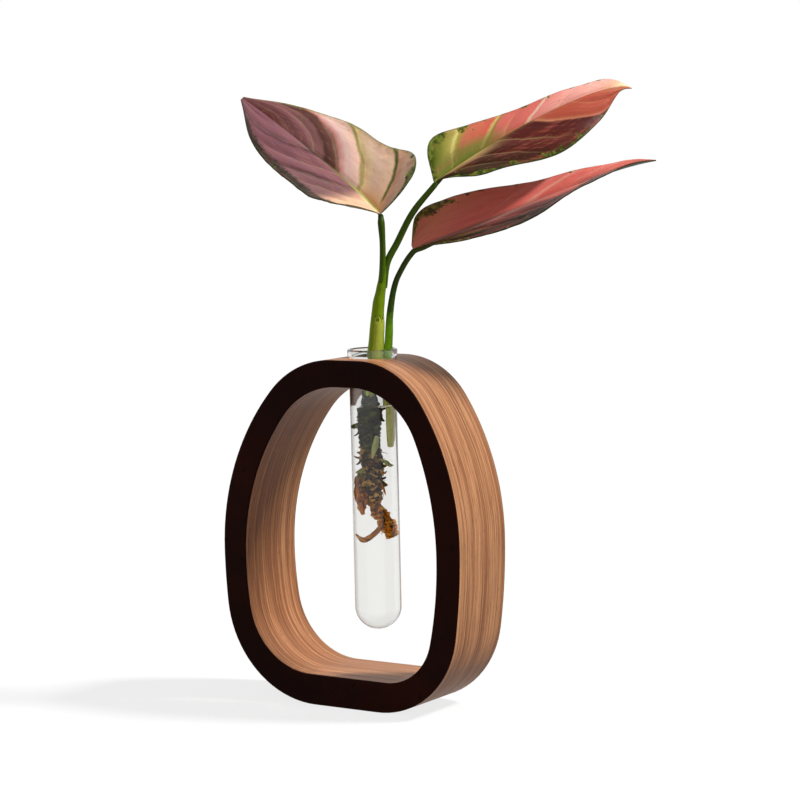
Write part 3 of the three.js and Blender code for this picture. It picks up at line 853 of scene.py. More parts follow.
SALMON_LEAF = LeafFinish(
    name="salmon_leaf",
    left=SALMON_LOWER,
    right=SALMON_UPPER,
    streak=screen(200, 88, 78),
    streak_share=0.28,
    blotch=screen(120, 132, 44),
    deep_blotch=screen(50, 66, 14),
    vein=screen(222, 190, 126),
    vein_share=0.3,
    midrib=screen(120, 124, 44),
    midrib_tip=screen(176, 110, 80),
    seed=4.7,
    base_blotch=0.16,
    margin_blotch=0.2,
    corner_blotch=0.1,
    blotch_level=0.72,
)
CORAL_LEAF = LeafFinish(
    name="coral_leaf",
    left=CORAL_LOWER,
    right=CORAL_UPPER,
    streak=screen(204, 84, 80),
    streak_share=0.3,
    blotch=screen(148, 140, 60),
    deep_blotch=screen(72, 66, 24),
    vein=screen(236, 146, 130),
    vein_share=0.3,
    midrib=screen(176, 126, 118),
    midrib_tip=screen(110, 66, 56),
    seed=8.1,
    base_blotch=0.08,
    margin_blotch=0.14,
    corner_blotch=0.3,
    blotch_level=0.73,
)


PALE_UNDERSIDE = UndersideFinish(
    name="pale_underside",
    left=MAUVE_UPPER,
    right=MAUVE_LOWER,
    near_rib=screen(206, 184, 160),
    far=screen(176, 168, 134),
    vein=screen(206, 206, 150),
    seed=1.3,
)
OLIVE_UNDERSIDE = UndersideFinish(
    name="olive_underside",
    left=SALMON_LOWER,
    right=SALMON_UPPER,
    near_rib=screen(168, 158, 104),
    far=screen(144, 124, 88),
    vein=screen(186, 182, 118),
    seed=4.7,
)
DARK_UNDERSIDE = UndersideFinish(
    name="dark_underside",
    left=CORAL_LOWER,
    right=CORAL_UPPER,
    near_rib=screen(84, 76, 44),
    far=screen(48, 40, 26),
    vein=screen(130, 124, 76),
    seed=8.1,
)


def finished_object(name: str, mesh_builder: bmesh.types.BMesh) -> bpy.types.Object:
    """Turns a bmesh into a scene object at the origin.

    Args:
        name: The piece's name.
        mesh_builder: The bmesh, which is freed.

    Returns:
        The new object.
    """
    mesh = bpy.data.meshes.new(name)
    mesh_builder.to_mesh(mesh)
    mesh_builder.free()
    piece = bpy.data.objects.new(name, mesh)
    bpy.context.scene.collection.objects.link(piece)
    return piece


def bake_modifiers(piece: bpy.types.Object) -> None:
    """Replaces a piece's mesh by what its modifiers make of it."""
    graph = bpy.context.evaluated_depsgraph_get()
    graph.update()
    mesh = bpy.data.meshes.new_from_object(piece.evaluated_get(graph))
    piece.modifiers.clear()
    piece.data = mesh


def install(piece: bpy.types.Object, body: Body, slot: str, *nodes: str) -> None:
    """Sets a finished piece on its body in place of its plain solids.

    Args:
        piece: The finished piece.
        body: The body that it moves with.
        slot: The name of its material slot, which is not used.
        *nodes: The plain solids that it stands for.
    """
    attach(piece, body.value)
    if nodes:
        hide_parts(*nodes)
    LOG.info("%s: %d faces on %s", piece.name, len(piece.data.polygons), body.value)


@dataclass
class OutlineSide:
    """One side of an outline: its widest height, where its flats end and the turn of its long arcs."""

    widest_at: float
    foot_end: float
    lower_turn: float
    crown_end: float
    upper_turn: float

    @staticmethod
    def quarter_radii(width: float, height: float, turn: float) -> tuple[float, float]:
        """Works out the two arcs that turn a quarter together.

        Args:
            width: The run across, from the flat's end to the widest point.
            height: The run up or down between them.
            turn: How far the long arc turns, in radians.

        Returns:
            The radii of the long arc and of the corner arc.
        """
        share = math.sin(turn) + math.cos(turn) - 1
        long_radius = (height * math.cos(turn) - width * (1 - math.sin(turn))) / share
        corner_radius = (width * math.sin(turn) - height * (1 - math.cos(turn))) / share
        return long_radius, corner_radius

    def points(self, half_width: float, height: float, steps: int) -> list[tuple[float, float]]:
        """Follows the side from the foot to the crown.

        Args:
            half_width: The outline's half width.
            height: The outline's height.
            steps: Steps in each arc.

        Returns:
            Points across and up, without the ones that two arcs share.
        """
        lower_turn = math.radians(self.lower_turn)
        upper_turn = math.radians(self.upper_turn)
        low_long, low_corner = self.quarter_radii(half_width - self.foot_end, self.widest_at, lower_turn)
        rise = height - self.widest_at
        high_long, high_corner = self.quarter_radii(half_width - self.crown_end, rise, upper_turn)
        arcs = [
            (self.foot_end, low_corner, low_corner, -TURN / 4, -lower_turn),
            (half_width - low_long, self.widest_at, low_long, -lower_turn, 0.0),
            (half_width - high_long, self.widest_at, high_long, 0.0, upper_turn),
            (self.crown_end, height - high_corner, high_corner, upper_turn, TURN / 4),
        ]
        found = []
        for number, (across, up, radius, start, end) in enumerate(arcs):
            for step in range(0 if number == 0 else 1, steps + 1):
                angle = start + (end - start) * step / steps
                found.append((across + radius * math.cos(angle), up + radius * math.sin(angle)))
        return found


@dataclass
class WoodenRing:
    """The solid walnut ring, its flat faces painted near-black as shade, and the hole for the tube."""

    base_wall: float = 16.4 * MM
    crown_wall: float = 14.3 * MM
    side_wall: float = 14.3 * MM
    edge_round: float = 0.8 * MM
    hole_gap: float = 0.25 * MM
    arc_steps: int = 20
    outer_right: OutlineSide = field(
        default_factory=lambda: OutlineSide(90.6 * MM, 22.4 * MM, 8.7, 15.2 * MM, 33.6)
    )
    outer_left: OutlineSide = field(
        default_factory=lambda: OutlineSide(81 * MM, 17.8 * MM, 5.4, 1.8 * MM, 42.8)
    )
    inner_right: OutlineSide = field(
        default_factory=lambda: OutlineSide(68 * MM, 27.8 * MM, 13, 11.2 * MM, 22.3)
    )
    inner_left: OutlineSide = field(
        default_factory=lambda: OutlineSide(61 * MM, 20.5 * MM, 8.8, -0.8 * MM, 39.3)
    )

    def __post_init__(self) -> None:
        """Takes the overall sizes from the frame."""
        low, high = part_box("wooden_ring")
        self.half_width = (high.x - low.x) / 2
        self.height = high.z - low.z
        self.front = low.y
        self.depth = high.y - low.y

    def loop(
        self, builder: bmesh.types.BMesh, sides: tuple[OutlineSide, OutlineSide], wall: float
    ) -> list[bmesh.types.BMEdge]:
        """Draws one closed outline in the front plane.

        Args:
            builder: The bmesh to draw in.
            sides: The right side and the left side.
            wall: The wall's thickness at the sides, which is 0 on the outer outline.

        Returns:
            The edges of the outline.
        """
        right, left = sides
        bottom = self.base_wall if wall else 0.0
        top = self.crown_wall if wall else 0.0
        height = self.height - bottom - top
        half_width = self.half_width - wall
        way = right.points(half_width, height, self.arc_steps)
        way += [(-across, up) for across, up in reversed(left.points(half_width, height, self.arc_steps))]
        corners = [builder.verts.new((across, self.front, bottom + up)) for across, up in way]
        return [builder.edges.new((corners[i - 1], corners[i])) for i in range(len(corners))]

    def solid(self) -> bmesh.types.BMesh:
        """Makes the ring without its hole: a front face drawn through the depth, with rounded edges."""
        builder = bmesh.new()
        outer = self.loop(builder, (self.outer_right, self.outer_left), 0.0)
        inner = self.loop(builder, (self.inner_right, self.inner_left), self.side_wall)
        bmesh.ops.bridge_loops(builder, edges=outer + inner)
        drawn = bmesh.ops.extrude_face_region(builder, geom=builder.faces[:])["geom"]
        moved = [part for part in drawn if isinstance(part, bmesh.types.BMVert)]
        bmesh.ops.translate(builder, vec=(0, self.depth, 0), verts=moved)
        bmesh.ops.recalc_face_normals(builder, faces=builder.faces[:])
        sharp = [edge for edge in builder.edges if edge.calc_face_angle(0.0) > math.radians(60)]
        bmesh.ops.bevel(
            builder,
            geom=sharp,
            offset=self.edge_round,
            segments=4,
            profile=0.5,
            affect="EDGES",
            material=-1,
        )
        return builder

    def drill(self, piece: bpy.types.Object) -> None:
        """Drills the hole for the tube through the crown."""
        low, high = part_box("test_tube")
        centre = (low.x + high.x) / 2
        radius = TestTube.wall_radius() + self.hole_gap
        builder = bmesh.new()
        place = Matrix.Translation((centre, 0, self.height))
        bmesh.ops.create_cone(
            builder,
            cap_ends=True,
            segments=128,
            radius1=radius,
            radius2=radius,
            depth=3 * self.crown_wall,
            matrix=place,
        )
        bit = finished_object("drill_bit", builder)
        cut = piece.modifiers.new("hole", "BOOLEAN")
        cut.operation = "DIFFERENCE"
        cut.solver = "EXACT"
        cut.object = bit
        bake_modifiers(piece)
        bpy.data.objects.remove(bit)

    def dress(self, piece: bpy.types.Object) -> None:
        """Gives the rims the oiled walnut and the flat faces a near-black painted shade, with crisp shading.
        """
        piece.data.materials.append(WALNUT.material())
        piece.data.materials.append(SHADE_PAINTED_FACES.material())
        builder = bmesh.new()
        builder.from_mesh(piece.data)
        # Faces that lean this far to the front or back take the near-black painted shade.
        painted_shade_from = 0.15
        for face in builder.faces:
            face.smooth = True
            face.material_index = 1 if abs(face.normal.y) > painted_shade_from else 0
        for edge in builder.edges:
            flats = {abs(face.normal.y) > 0.999 for face in edge.link_faces}
            rims = {abs(face.normal.y) < 0.001 for face in edge.link_faces}
            bent = edge.calc_face_angle(0.0) > math.radians(35)
            edge.smooth = not (len(flats) > 1 or len(rims) > 1 or bent)
        builder.to_mesh(piece.data)
        builder.free()

    def build(self) -> None:
        """Builds the ring and sets it on its body."""
        piece = finished_object("wooden_ring_body", self.solid())
        self.drill(piece)
        self.dress(piece)
        install(piece, Body.RING, "walnut", "wooden_ring")


def arc(across: float, up: float, radius: float, start: float, end: float, steps: int) -> list[Vector]:
    """Draws an arc of a profile, in quarters of a turn.

    Args:
        across: The centre's distance from the axis.
        up: The centre's height.
        radius: The arc's radius.
        start: The first angle, in quarter turns.
        end: The last angle, in quarter turns.
        steps: Steps along the arc.

    Returns:
        Points of the profile, in the plane across and up.
    """
    angles = [(start + (end - start) * step / steps) * TURN / 4 for step in range(steps + 1)]
    return [Vector((across + radius * math.cos(a), 0, up + radius * math.sin(a))) for a in angles]


def turned(profile: list[Vector], centre: float, steps: int) -> bmesh.types.BMesh:
    """Turns a profile round the tube's axis.

    Args:
        profile: Points from axis to axis.
        centre: Where the axis stands along X.
        steps: Steps round the axis.

    Returns:
        A closed bmesh with its faces pointing out.
    """
    builder = bmesh.new()
    corners = [builder.verts.new(point) for point in profile]
    edges = [builder.edges.new(pair) for pair in zip(corners, corners[1:])]
    bmesh.ops.spin(
        builder,
        geom=corners + edges,
        cent=(0, 0, 0),
        axis=(0, 0, 1),
        dvec=(0, 0, 0),
        angle=TURN,
        steps=steps,
        use_merge=True,
    )
    bmesh.ops.remove_doubles(builder, verts=builder.verts[:], dist=0.001 * MM)
    bmesh.ops.recalc_face_normals(builder, faces=builder.faces[:])
    bmesh.ops.translate(builder, vec=(centre, 0, 0), verts=builder.verts[:])
    for face in builder.faces:
        face.smooth = True
    return builder


@dataclass
class TestTube:
    """The glass tube with its round end, rolled lip and the water in it."""

    glass_wall: float = 1.2 * MM
    lip_height: float = 4.2 * MM
    lip_round: float = 1.0 * MM
    water_gap: float = 0.03 * MM
    meniscus_rise: float = 1.1 * MM
    meniscus_width: float = 2.6 * MM
    steps: int = 128

    def __post_init__(self) -> None:
        """Takes the overall sizes from the frame."""
        low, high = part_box("test_tube")
        self.axis = (low.x + high.x) / 2
        self.bottom = low.z
        self.mouth = high.z
        self.lip_radius = (high.x - low.x) / 2
        self.radius = self.wall_radius()
        self.bore = self.radius - self.glass_wall
        self.water_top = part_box("water")[1].z

    @staticmethod
    def wall_radius() -> float:
        """Returns the tube's outer radius below its lip, from the frame's lip less its overhang."""
        low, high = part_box("test_tube")
        lip_overhang = 0.85 * MM
        return (high.x - low.x) / 2 - lip_overhang

    def glass_profile(self) -> list[Vector]:
        """Draws the glass from the axis round the outside, over the lip and down the bore."""
        bowl = self.bottom + self.radius
        lip_bottom = self.mouth - self.lip_height
        lip_centre = self.lip_radius - self.lip_round
        profile = arc(0, bowl, self.radius, -1, 0, 24)
        profile.append(Vector((self.radius, 0, lip_bottom - 0.6 * MM)))
        profile += arc(lip_centre, lip_bottom + self.lip_round, self.lip_round, -0.7, 0, 8)
        profile += arc(lip_centre, self.mouth - self.lip_round, self.lip_round, 0, 1, 8)
        profile += arc(self.bore + self.lip_round, self.mouth - self.lip_round, self.lip_round, 1, 2, 8)
        profile.append(Vector((self.bore, 0, self.water_top)))
        profile += arc(0, bowl, self.bore, 0, -1, 24)
        return profile

    def build_glass(self) -> None:
        """Builds the glass; its inner wall bends light less where water wets it."""
        builder = turned(self.glass_profile(), self.axis, self.steps)
        for face in builder.faces:
            centre = face.calc_center_median()
            core = Vector((self.axis, 0, max(centre.z, self.bottom + self.radius)))
            wet = face.normal.dot(core - centre) > 0 and centre.z < self.water_top
            face.material_index = int(wet)
        piece = finished_object("test_tube_glass", builder)
        piece.data.materials.append(GLASS.material())
        piece.data.materials.append(WET_GLASS.material())
        install(piece, Body.TUBE, "glass", "test_tube")

    def build_water(self) -> None:
        """Builds the water, drawn up at the glass."""
        radius = self.bore - self.water_gap
        level = self.water_top - self.meniscus_rise
        bowl = self.bottom + self.radius
        profile = arc(0, bowl, radius, -1, 0, 24)
        rise_steps = 8
        for step in range(rise_steps + 1):
            inward = self.meniscus_width * step / rise_steps
            rise = self.meniscus_rise * (1 - step / rise_steps) ** 2.5
            profile.append(Vector((radius - inward, 0, level + rise)))
        profile.append(Vector((0, 0, level)))
        builder = turned(profile, self.axis, self.steps)
        for face in builder.faces:
            top = face.calc_center_median().z > level - 0.1 * MM and face.normal.z > 0.2
            face.material_index = 0 if top else 1
        piece = finished_object("water_column", builder)
        piece.data.materials.append(WATER_SURFACE.material())
        piece.data.materials.append(WATER_SIDE.material())
        install(piece, Body.TUBE, "water", "water")
        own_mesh(piece)

    def build(self) -> None:
        """Builds the glass and the water."""
        self.build_glass()
        self.build_water()


@dataclass
class HalfBlade:
    """Half of a leaf's blade: its widths from base to tip and how it folds, leans and curls."""

    side: Side
    width: float
    shape: tuple[float, ...]
    lean: float
    fold_at_base: float
    fold_at_tip: float
    curl: float
    stations: tuple[float, ...] = (0, 0.05, 0.15, 0.3, 0.5, 0.7, 0.87, 1)

    def width_at(self, along: float) -> float:
        """Returns the half blade's width at a share of the way along, smooth through its stations."""
        widths = [0.0, *[share * self.width for share in self.shape], 0.0]
        last = len(widths) - 1
        k = 0
        while k < last - 1 and along > self.stations[k + 1]:
            k += 1

        def slope(i: int) -> float:
            """Returns the slope of the widths at a station."""
            before, after = max(i - 1, 0), min(i + 1, last)
            return (widths[after] - widths[before]) / (self.stations[after] - self.stations[before])

        span = self.stations[k + 1] - self.stations[k]
        s = (along - self.stations[k]) / span
        start = (1 + 2 * s) * (1 - s) ** 2 * widths[k] + s * (1 - s) ** 2 * span * slope(k)
        end = s**2 * (3 - 2 * s) * widths[k + 1] + s**2 * (s - 1) * span * slope(k + 1)
        return max(start + end, 0.2 * MM)


@dataclass
class Leaf:
    """A leaf of two half blades that meet at a midrib, in the cutting's own frame."""

    node: str
    slot: str
    base: tuple[float, float, float]
    length: float
    midrib: tuple[tuple[float, float, float], ...]
    turn: float
    rise: float
    left: HalfBlade
    right: HalfBlade
    finish: LeafFinish
    underside: UndersideFinish
    stem_reach: float
    pucker: float = 0.6 * MM
    ripple: float = 0.5 * MM
    thickness: float = 0.55 * MM
    rows: int = 170
    columns: int = 32

    def __post_init__(self) -> None:
        """Sets the midrib's four guide points."""
        start = Vector(self.base) * self.stem_reach
        self.guides = [start, *[Vector(bend) * self.length + start for bend in self.midrib]]

    def rib_point(self, along: float) -> Vector:
        """Returns the midrib's point at a share of the way along."""
        a, b, c, d = self.guides
        s = 1 - along
        return a * s**3 + b * (3 * s * s * along) + c * (3 * s * along * along) + d * along**3

    def axes(self, along: float) -> tuple[Vector, Vector]:
        """Returns the midrib's direction and the upper face's normal at a share of the way along."""
        a, b, c, d = self.guides
        s = 1 - along
        forward = ((b - a) * (s * s) + (c - b) * (2 * s * along) + (d - c) * (along * along)).normalized()
        turn, rise = math.radians(self.turn), math.radians(self.rise)
        level = math.cos(rise)
        facing = Vector((math.sin(turn) * level, -math.cos(turn) * level, math.sin(rise)))
        return forward, (facing - forward * facing.dot(forward)).normalized()

    def relief(self, half: HalfBlade, along: float, out: float, width: float) -> float:
        """Works out how far the blade stands off its smooth form.

        Args:
            half: The half blade.
            along: The share of the way from base to tip.
            out: The share of the way from midrib to margin.
            width: The half blade's width there.

        Returns:
            The height along the upper face's normal.
        """
        pattern = self.finish.left if half.side is Side.LEFT else self.finish.right
        groove = -0.5 * MM * math.exp(-((out * width / (1.3 * MM)) ** 2))
        swell = self.pucker * (pattern.swell(along, out) - 0.4) * math.sin(math.pi * min(1.1 * out, 1.0))
        wave = self.ripple * out**3 * math.sin(TURN * (3.1 * along + 0.3 * self.finish.seed))
        spot = Vector((along * self.length, half.side.value * out * width, self.finish.seed * MM))
        crinkle = 0.35 * self.pucker * out * noise.fractal(spot / (9 * MM), 0.8, 2.0, 3)
        fade = min(1.0, 6 * along, 5 * (1 - along))
        return (groove + swell + wave + crinkle) * fade

    def blade_point(self, half: HalfBlade, along: float, out: float) -> Vector:
        """Returns a point of the blade, at shares of the way along the midrib and out to the margin."""
        lean_fades = 0.12
        forward, normal = self.axes(along)
        across = forward.cross(normal) * half.side.value
        fold = math.radians(half.fold_at_base + (half.fold_at_tip - half.fold_at_base) * along)
        lean = math.radians(half.lean) * math.exp(-along / lean_fades)
        outward = across * math.cos(fold) + normal * math.sin(fold)
        blade_normal = normal * math.cos(fold) - across * math.sin(fold)
        outward = outward * math.cos(lean) - forward * math.sin(lean)
        width = half.width_at(along)
        lift = width * half.curl * out * out + self.relief(half, along, out, width)
        return self.rib_point(along) + outward * (width * out) + blade_normal * lift

    def under_rib(self, stem_radius: float, gap: float) -> list[tuple[Vector, float]]:
        """Returns the places and radii of the petiole's thin end below the midrib."""
        found = []
        for along, share in ((0.004, 0.395), (0.035, 0.316), (0.08, 0.21), (0.16, 0.13)):
            radius = share * stem_radius
            below = self.axes(along)[1] * (radius + gap)
            found.append((self.rib_point(along) - below, radius))
        return found

    def build(self, to_row: Matrix) -> None:
        """Builds the blade from a grid and sets it on the cutting.

        Args:
            to_row: The cutting's frame in the row's frame.
        """
        builder = bmesh.new()
        bmesh.ops.create_grid(builder, x_segments=2 * self.columns, y_segments=self.rows, size=1.0)
        places = {}
        for corner in builder.verts:
            across, height = corner.co.x, (corner.co.y + 1) / 2
            along = 0.006 + 0.984 * height**1.3
            half = self.left if across > 0 else self.right
            places[corner] = (0.5 + 0.5 * across, along)
            corner.co = to_row @ self.blade_point(half, along, abs(across))
        uv = builder.loops.layers.uv.new("UVMap")
        for face in builder.faces:
            face.smooth = True
            for loop in face.loops:
                loop[uv].uv = places[loop.vert]
        builder.normal_update()
        up = to_row.to_3x3() @ self.axes(0.5)[1]
        mean = sum((face.normal * face.calc_area() for face in builder.faces), Vector())
        if mean.dot(up) < 0:
            bmesh.ops.reverse_faces(builder, faces=builder.faces[:])
        piece = finished_object(f"{self.node}_blade", builder)
        piece.data.materials.append(self.finish.material())
        piece.data.materials.append(self.underside.material())
        shell = piece.modifiers.new("thickness", "SOLIDIFY")
        shell.thickness = self.thickness
        shell.offset = 0.0
        shell.use_even_offset = False
        shell.material_offset = 1
        shell.material_offset_rim = 0
        install(piece, Body.CUTTING, self.slot, self.node)


@dataclass
class Limb:
    """A stem or root: a round section drawn along a smooth route."""

    node: str
    slot: str
    finish: SkinFinish
    places: list[tuple[Vector, float]]
    sides: int = 28
    steps: int = 60
    knobs: float = 0.0
    knob_size: float = 4 * MM
    scars: float = 0.0
    scar_pitch: float = 3.2 * MM
    crinkle: float = 0.0
    rootlets: int = 0
    rootlet_length: float = 5 * MM
    rootlet_radius: float = 0.16 * MM
    flakes: int = 0
    flake_length: float = 3.2 * MM
    seed: int = 1

    def route(self) -> list[tuple[Vector, float]]:
        """Follows a smooth curve through the places, with the radius at each step."""
        points = [place for place, radius in self.places]
        count = len(points) - 1
        each = max(2, self.steps // count)
        found = []
        for k in range(count):
            start, end = points[k], points[k + 1]
            before, after = points[max(k - 1, 0)], points[min(k + 2, count)]
            reach = (end - start).length
            leave = start + (end - before).normalized() * (reach / 3)
            arrive = end - (after - start).normalized() * (reach / 3)
            stretch = geometry.interpolate_bezier(start, leave, arrive, end, each + 1)
            last = each + 1 if k == count - 1 else each
            for step, point in enumerate(stretch[:last]):
                share = step / each
                ease = share * share * (3 - 2 * share)
                radius = self.places[k][1] * (1 - ease) + self.places[k + 1][1] * ease
                found.append((Vector(point), radius))
        return self.rounded_end(self.rounded_end(found)[::-1])[::-1]

    @staticmethod
    def rounded_end(route: list[tuple[Vector, float]]) -> list[tuple[Vector, float]]:
        """Rounds off the end of a route, like half of a flat ball."""
        end, radius = route[-1]
        forward = (end - route[-2][0]).normalized()
        flatness = 0.7
        cap_steps = 4
        cap = []
        for step in range(1, cap_steps + 1):
            angle = 0.95 * TURN / 4 * step / cap_steps
            cap.append((end + forward * (radius * flatness * math.sin(angle)), radius * math.cos(angle)))
        return route + cap

    @staticmethod
    def loft(
        route: list[tuple[Vector, float]], sides: int, level: float, flat_towards: Vector | None = None
    ) -> bmesh.types.BMesh:
        """Draws a circle along a route by extruding its edge from step to step.

        Args:
            route: Centres and radii.
            sides: Sides of the circle.
            level: How high the skin counts as standing, from hollow at 0 to crest at 1.
            flat_towards: A direction in which the section is flattened, or nothing.

        Returns:
            A closed bmesh, whose UV runs round the section and along the route.
        """
        builder = bmesh.new()
        builder.verts.layers.float.new(RELIEF)
        builder.loops.layers.uv.new("UVMap")
        last_forward = (route[1][0] - route[0][0]).normalized()
        aside = (flat_towards or last_forward.orthogonal()).cross(last_forward).normalized()
        turn = Matrix((aside, last_forward.cross(aside), last_forward)).transposed()
        flatness = 0.3 if flat_towards else 1.0
        steps = [(end[0] - start[0]).length for start, end in zip(route, route[1:])]
        runs = [0.0, *accumulate(steps)]
        placed = {}
        edges: list[bmesh.types.BMEdge] = []
        first: list[bmesh.types.BMEdge] = []
        before = Matrix.Identity(4)
        for number, (centre, radius) in enumerate(route):
            ahead = route[min(number + 1, len(steps))][0] - route[max(number - 1, 0)][0]
            forward = ahead.normalized()
            turn = last_forward.rotation_difference(forward).to_matrix() @ turn
            last_forward = forward
            section = Matrix.Diagonal((radius, radius * flatness, radius, 1))
            here = Matrix.Translation(centre) @ turn.to_4x4() @ section
            if number == 0:
                ring = bmesh.ops.create_circle(builder, segments=sides, radius=1.0, matrix=here)["verts"]
                edges = builder.edges[:]
                first = edges
            else:
                drawn = bmesh.ops.extrude_edge_only(builder, edges=edges)["geom"]
                ring = [part for part in drawn if isinstance(part, bmesh.types.BMVert)]
                fresh = set(ring)
                drawn_edges = [part for part in drawn if isinstance(part, bmesh.types.BMEdge)]
                edges = [edge for edge in drawn_edges if fresh.issuperset(edge.verts)]
                bmesh.ops.transform(builder, matrix=here @ before.inverted(), verts=ring)
            before = here
            back = here.inverted()
            for corner in ring:
                local = back @ corner.co
                placed[corner] = (math.atan2(local.y, local.x) / TURN % 1.0, runs[number] / runs[-1])
        bmesh.ops.holes_fill(builder, edges=first + edges, sides=0)
        bmesh.ops.recalc_face_normals(builder, faces=builder.faces[:])
        Limb.label(builder, placed, level)
        return builder

    @staticmethod
    def label(
        builder: bmesh.types.BMesh, placed: dict[bmesh.types.BMVert, tuple[float, float]], level: float
    ) -> None:
        """Writes the UV of each corner, across the seam as well, and the skin's level."""
        relief = builder.verts.layers.float[RELIEF]
        uv = builder.loops.layers.uv["UVMap"]
        for corner in builder.verts:
            corner[relief] = level
        for face in builder.faces:
            face.smooth = True
            rounds = [placed[loop.vert][0] for loop in face.loops]
            crosses = max(rounds) - min(rounds) > 0.5
            for loop in face.loops:
                around, along = placed[loop.vert]
                loop[uv].uv = (around + 1.0 if crosses and around < 0.5 else around, along)

    def roughen(self, builder: bmesh.types.BMesh) -> None:
        """Raises knobs, scars round the limb and crinkles on the skin, always the same ones."""
        if not (self.knobs or self.crinkle):
            return
        relief = builder.verts.layers.float[RELIEF]
        builder.normal_update()
        shift = Vector((self.seed * 7.3, self.seed * 3.1, self.seed * 1.7))
        for corner in builder.verts:
            wide = noise.voronoi(corner.co / self.knob_size + shift)[0][0]
            narrow = noise.voronoi(corner.co / (0.4 * self.knob_size) + shift)[0][0]
            fine = noise.fractal(corner.co / (1.1 * MM) + shift, 0.7, 2.0, 4)
            drift = noise.noise(corner.co / (6 * MM) + shift)
            scar = math.sin(TURN * (corner.co.z / self.scar_pitch + 1.2 * drift)) if self.scars else 0.0
            height = (0.5 - wide) + 0.35 * (0.5 - narrow)
            # The relief value places the skin's painted highlights on knob tops and painted shade between
            # knobs.
            corner[relief] = min(1.0, max(0.0, 0.52 + 0.75 * height + 0.12 * scar + 0.25 * fine))
            corner.co += corner.normal * (height * self.knobs + scar * self.scars + fine * self.crinkle)

    @staticmethod
    def some_spots(
        builder: bmesh.types.BMesh, chance: random.Random, count: int
    ) -> list[tuple[Vector, Vector]]:
        """Returns the centres and normals of a few faces of the skin."""
        chosen = chance.sample(builder.faces[:], count)
        return [(face.calc_center_median(), face.normal.copy()) for face in chosen]

    def rootlet(self, centre: Vector, normal: Vector, chance: random.Random) -> bmesh.types.BMesh:
        """Draws a fine rootlet that leaves the skin and curves down.

        Args:
            centre: Where it starts on the skin.
            normal: The skin's normal there.
            chance: The limb's own source of random numbers.

        Returns:
            The rootlet.
        """
        rootlet_steps = 7
        length = self.rootlet_length * chance.uniform(0.4, 1.0)
        radius = self.rootlet_radius * chance.uniform(0.7, 1.4)
        side = Vector((chance.uniform(-1, 1), chance.uniform(-1, 1), chance.uniform(-1.6, 0.4)))
        way = []
        for step in range(rootlet_steps + 1):
            share = step / rootlet_steps
            bend = normal * (length * share * (1 - 0.4 * share)) + side * (length * 0.5 * share * share)
            way.append((centre - normal * (0.3 * MM) + bend, radius * (1.05 - 0.8 * share)))
        return self.loft(way, sides=6, level=0.6)

    def flake(self, centre: Vector, normal: Vector, chance: random.Random) -> bmesh.types.BMesh:
        """Draws a thin scale of old bark that curls off the skin.

        Args:
            centre: Where it starts on the skin.
            normal: The skin's normal there.
            chance: The limb's own source of random numbers.

        Returns:
            The scale.
        """
        flake_steps = 8
        length = self.flake_length * chance.uniform(0.6, 1.0)
        side = normal.cross(Vector((0, 0, 1))).normalized() * chance.choice((-1, 1))
        start = (side * chance.uniform(0.2, 1.0) + Vector((0, 0, chance.uniform(-1.2, 0.8)))).normalized()
        bend = chance.uniform(1.2, 2.4)
        way = []
        for step in range(flake_steps + 1):
            share = step / flake_steps
            curl = share * bend
            ahead = start * (length * math.sin(curl) / bend)
            lift = normal * (length * (1 - math.cos(curl)) / bend - 0.1 * MM)
            width = 0.32 * length * math.sin(math.pi * (0.25 + 0.65 * share))
            way.append((centre + ahead + lift, width))
        return self.loft(way, sides=10, level=chance.uniform(0.5, 0.9), flat_towards=normal)

    def build(self, to_row: Matrix) -> None:
        """Builds the limb and sets it on the cutting.

        Args:
            to_row: The cutting's frame in the row's frame.
        """
        builder = self.loft(self.route(), self.sides, level=0.5)
        self.roughen(builder)
        builder.normal_update()
        chance = random.Random(self.seed)
        grown = [self.rootlet(*spot, chance) for spot in self.some_spots(builder, chance, self.rootlets)]
        grown += [self.flake(*spot, chance) for spot in self.some_spots(builder, chance, self.flakes)]
        for part in grown:
            mesh = bpy.data.meshes.new("grown")
            part.to_mesh(mesh)
            part.free()
            builder.from_mesh(mesh)
            bpy.data.meshes.remove(mesh)
        bmesh.ops.transform(builder, matrix=to_row, verts=builder.verts[:])
        piece = finished_object(f"{self.node}_skin", builder)
        piece.data.materials.append(self.finish.material())
        install(piece, Body.CUTTING, self.slot, self.node)


@dataclass
class Sheath(Limb):
    """The stem's sheath, whose torn outer sleeve ends in a ragged edge on the right of the front."""

    sleeve_top: float = 15.5 * MM
    sleeve_lift: float = 0.35 * MM
    sleeve_faces: float = -50.0
    sleeve_reach: float = 62.0

    def roughen(self, builder: bmesh.types.BMesh) -> None:
        """Raises the sleeve below its torn edge and marks it as a crest, with a dark line above it."""
        relief = builder.verts.layers.float[RELIEF]
        builder.normal_update()
        edge_width = 0.9 * MM
        facing = math.radians(self.sleeve_faces)
        for corner in builder.verts:
            angle = math.atan2(corner.normal.y, corner.normal.x)
            aside = abs((angle - facing + TURN / 2) % TURN - TURN / 2)
            ragged = 1.3 * MM * math.sin(9 * angle) + 0.8 * MM * math.sin(23 * angle)
            below = self.sleeve_top + ragged - corner.co.z
            inside = math.radians(self.sleeve_reach) - aside
            if inside > 0 and below > 0:
                corner[relief] = 1.0
                corner.co += corner.normal * (self.sleeve_lift * min(1.0, below / edge_width, 4 * inside))
            elif inside > 0 and below > -edge_width:
                corner[relief] = 0.0


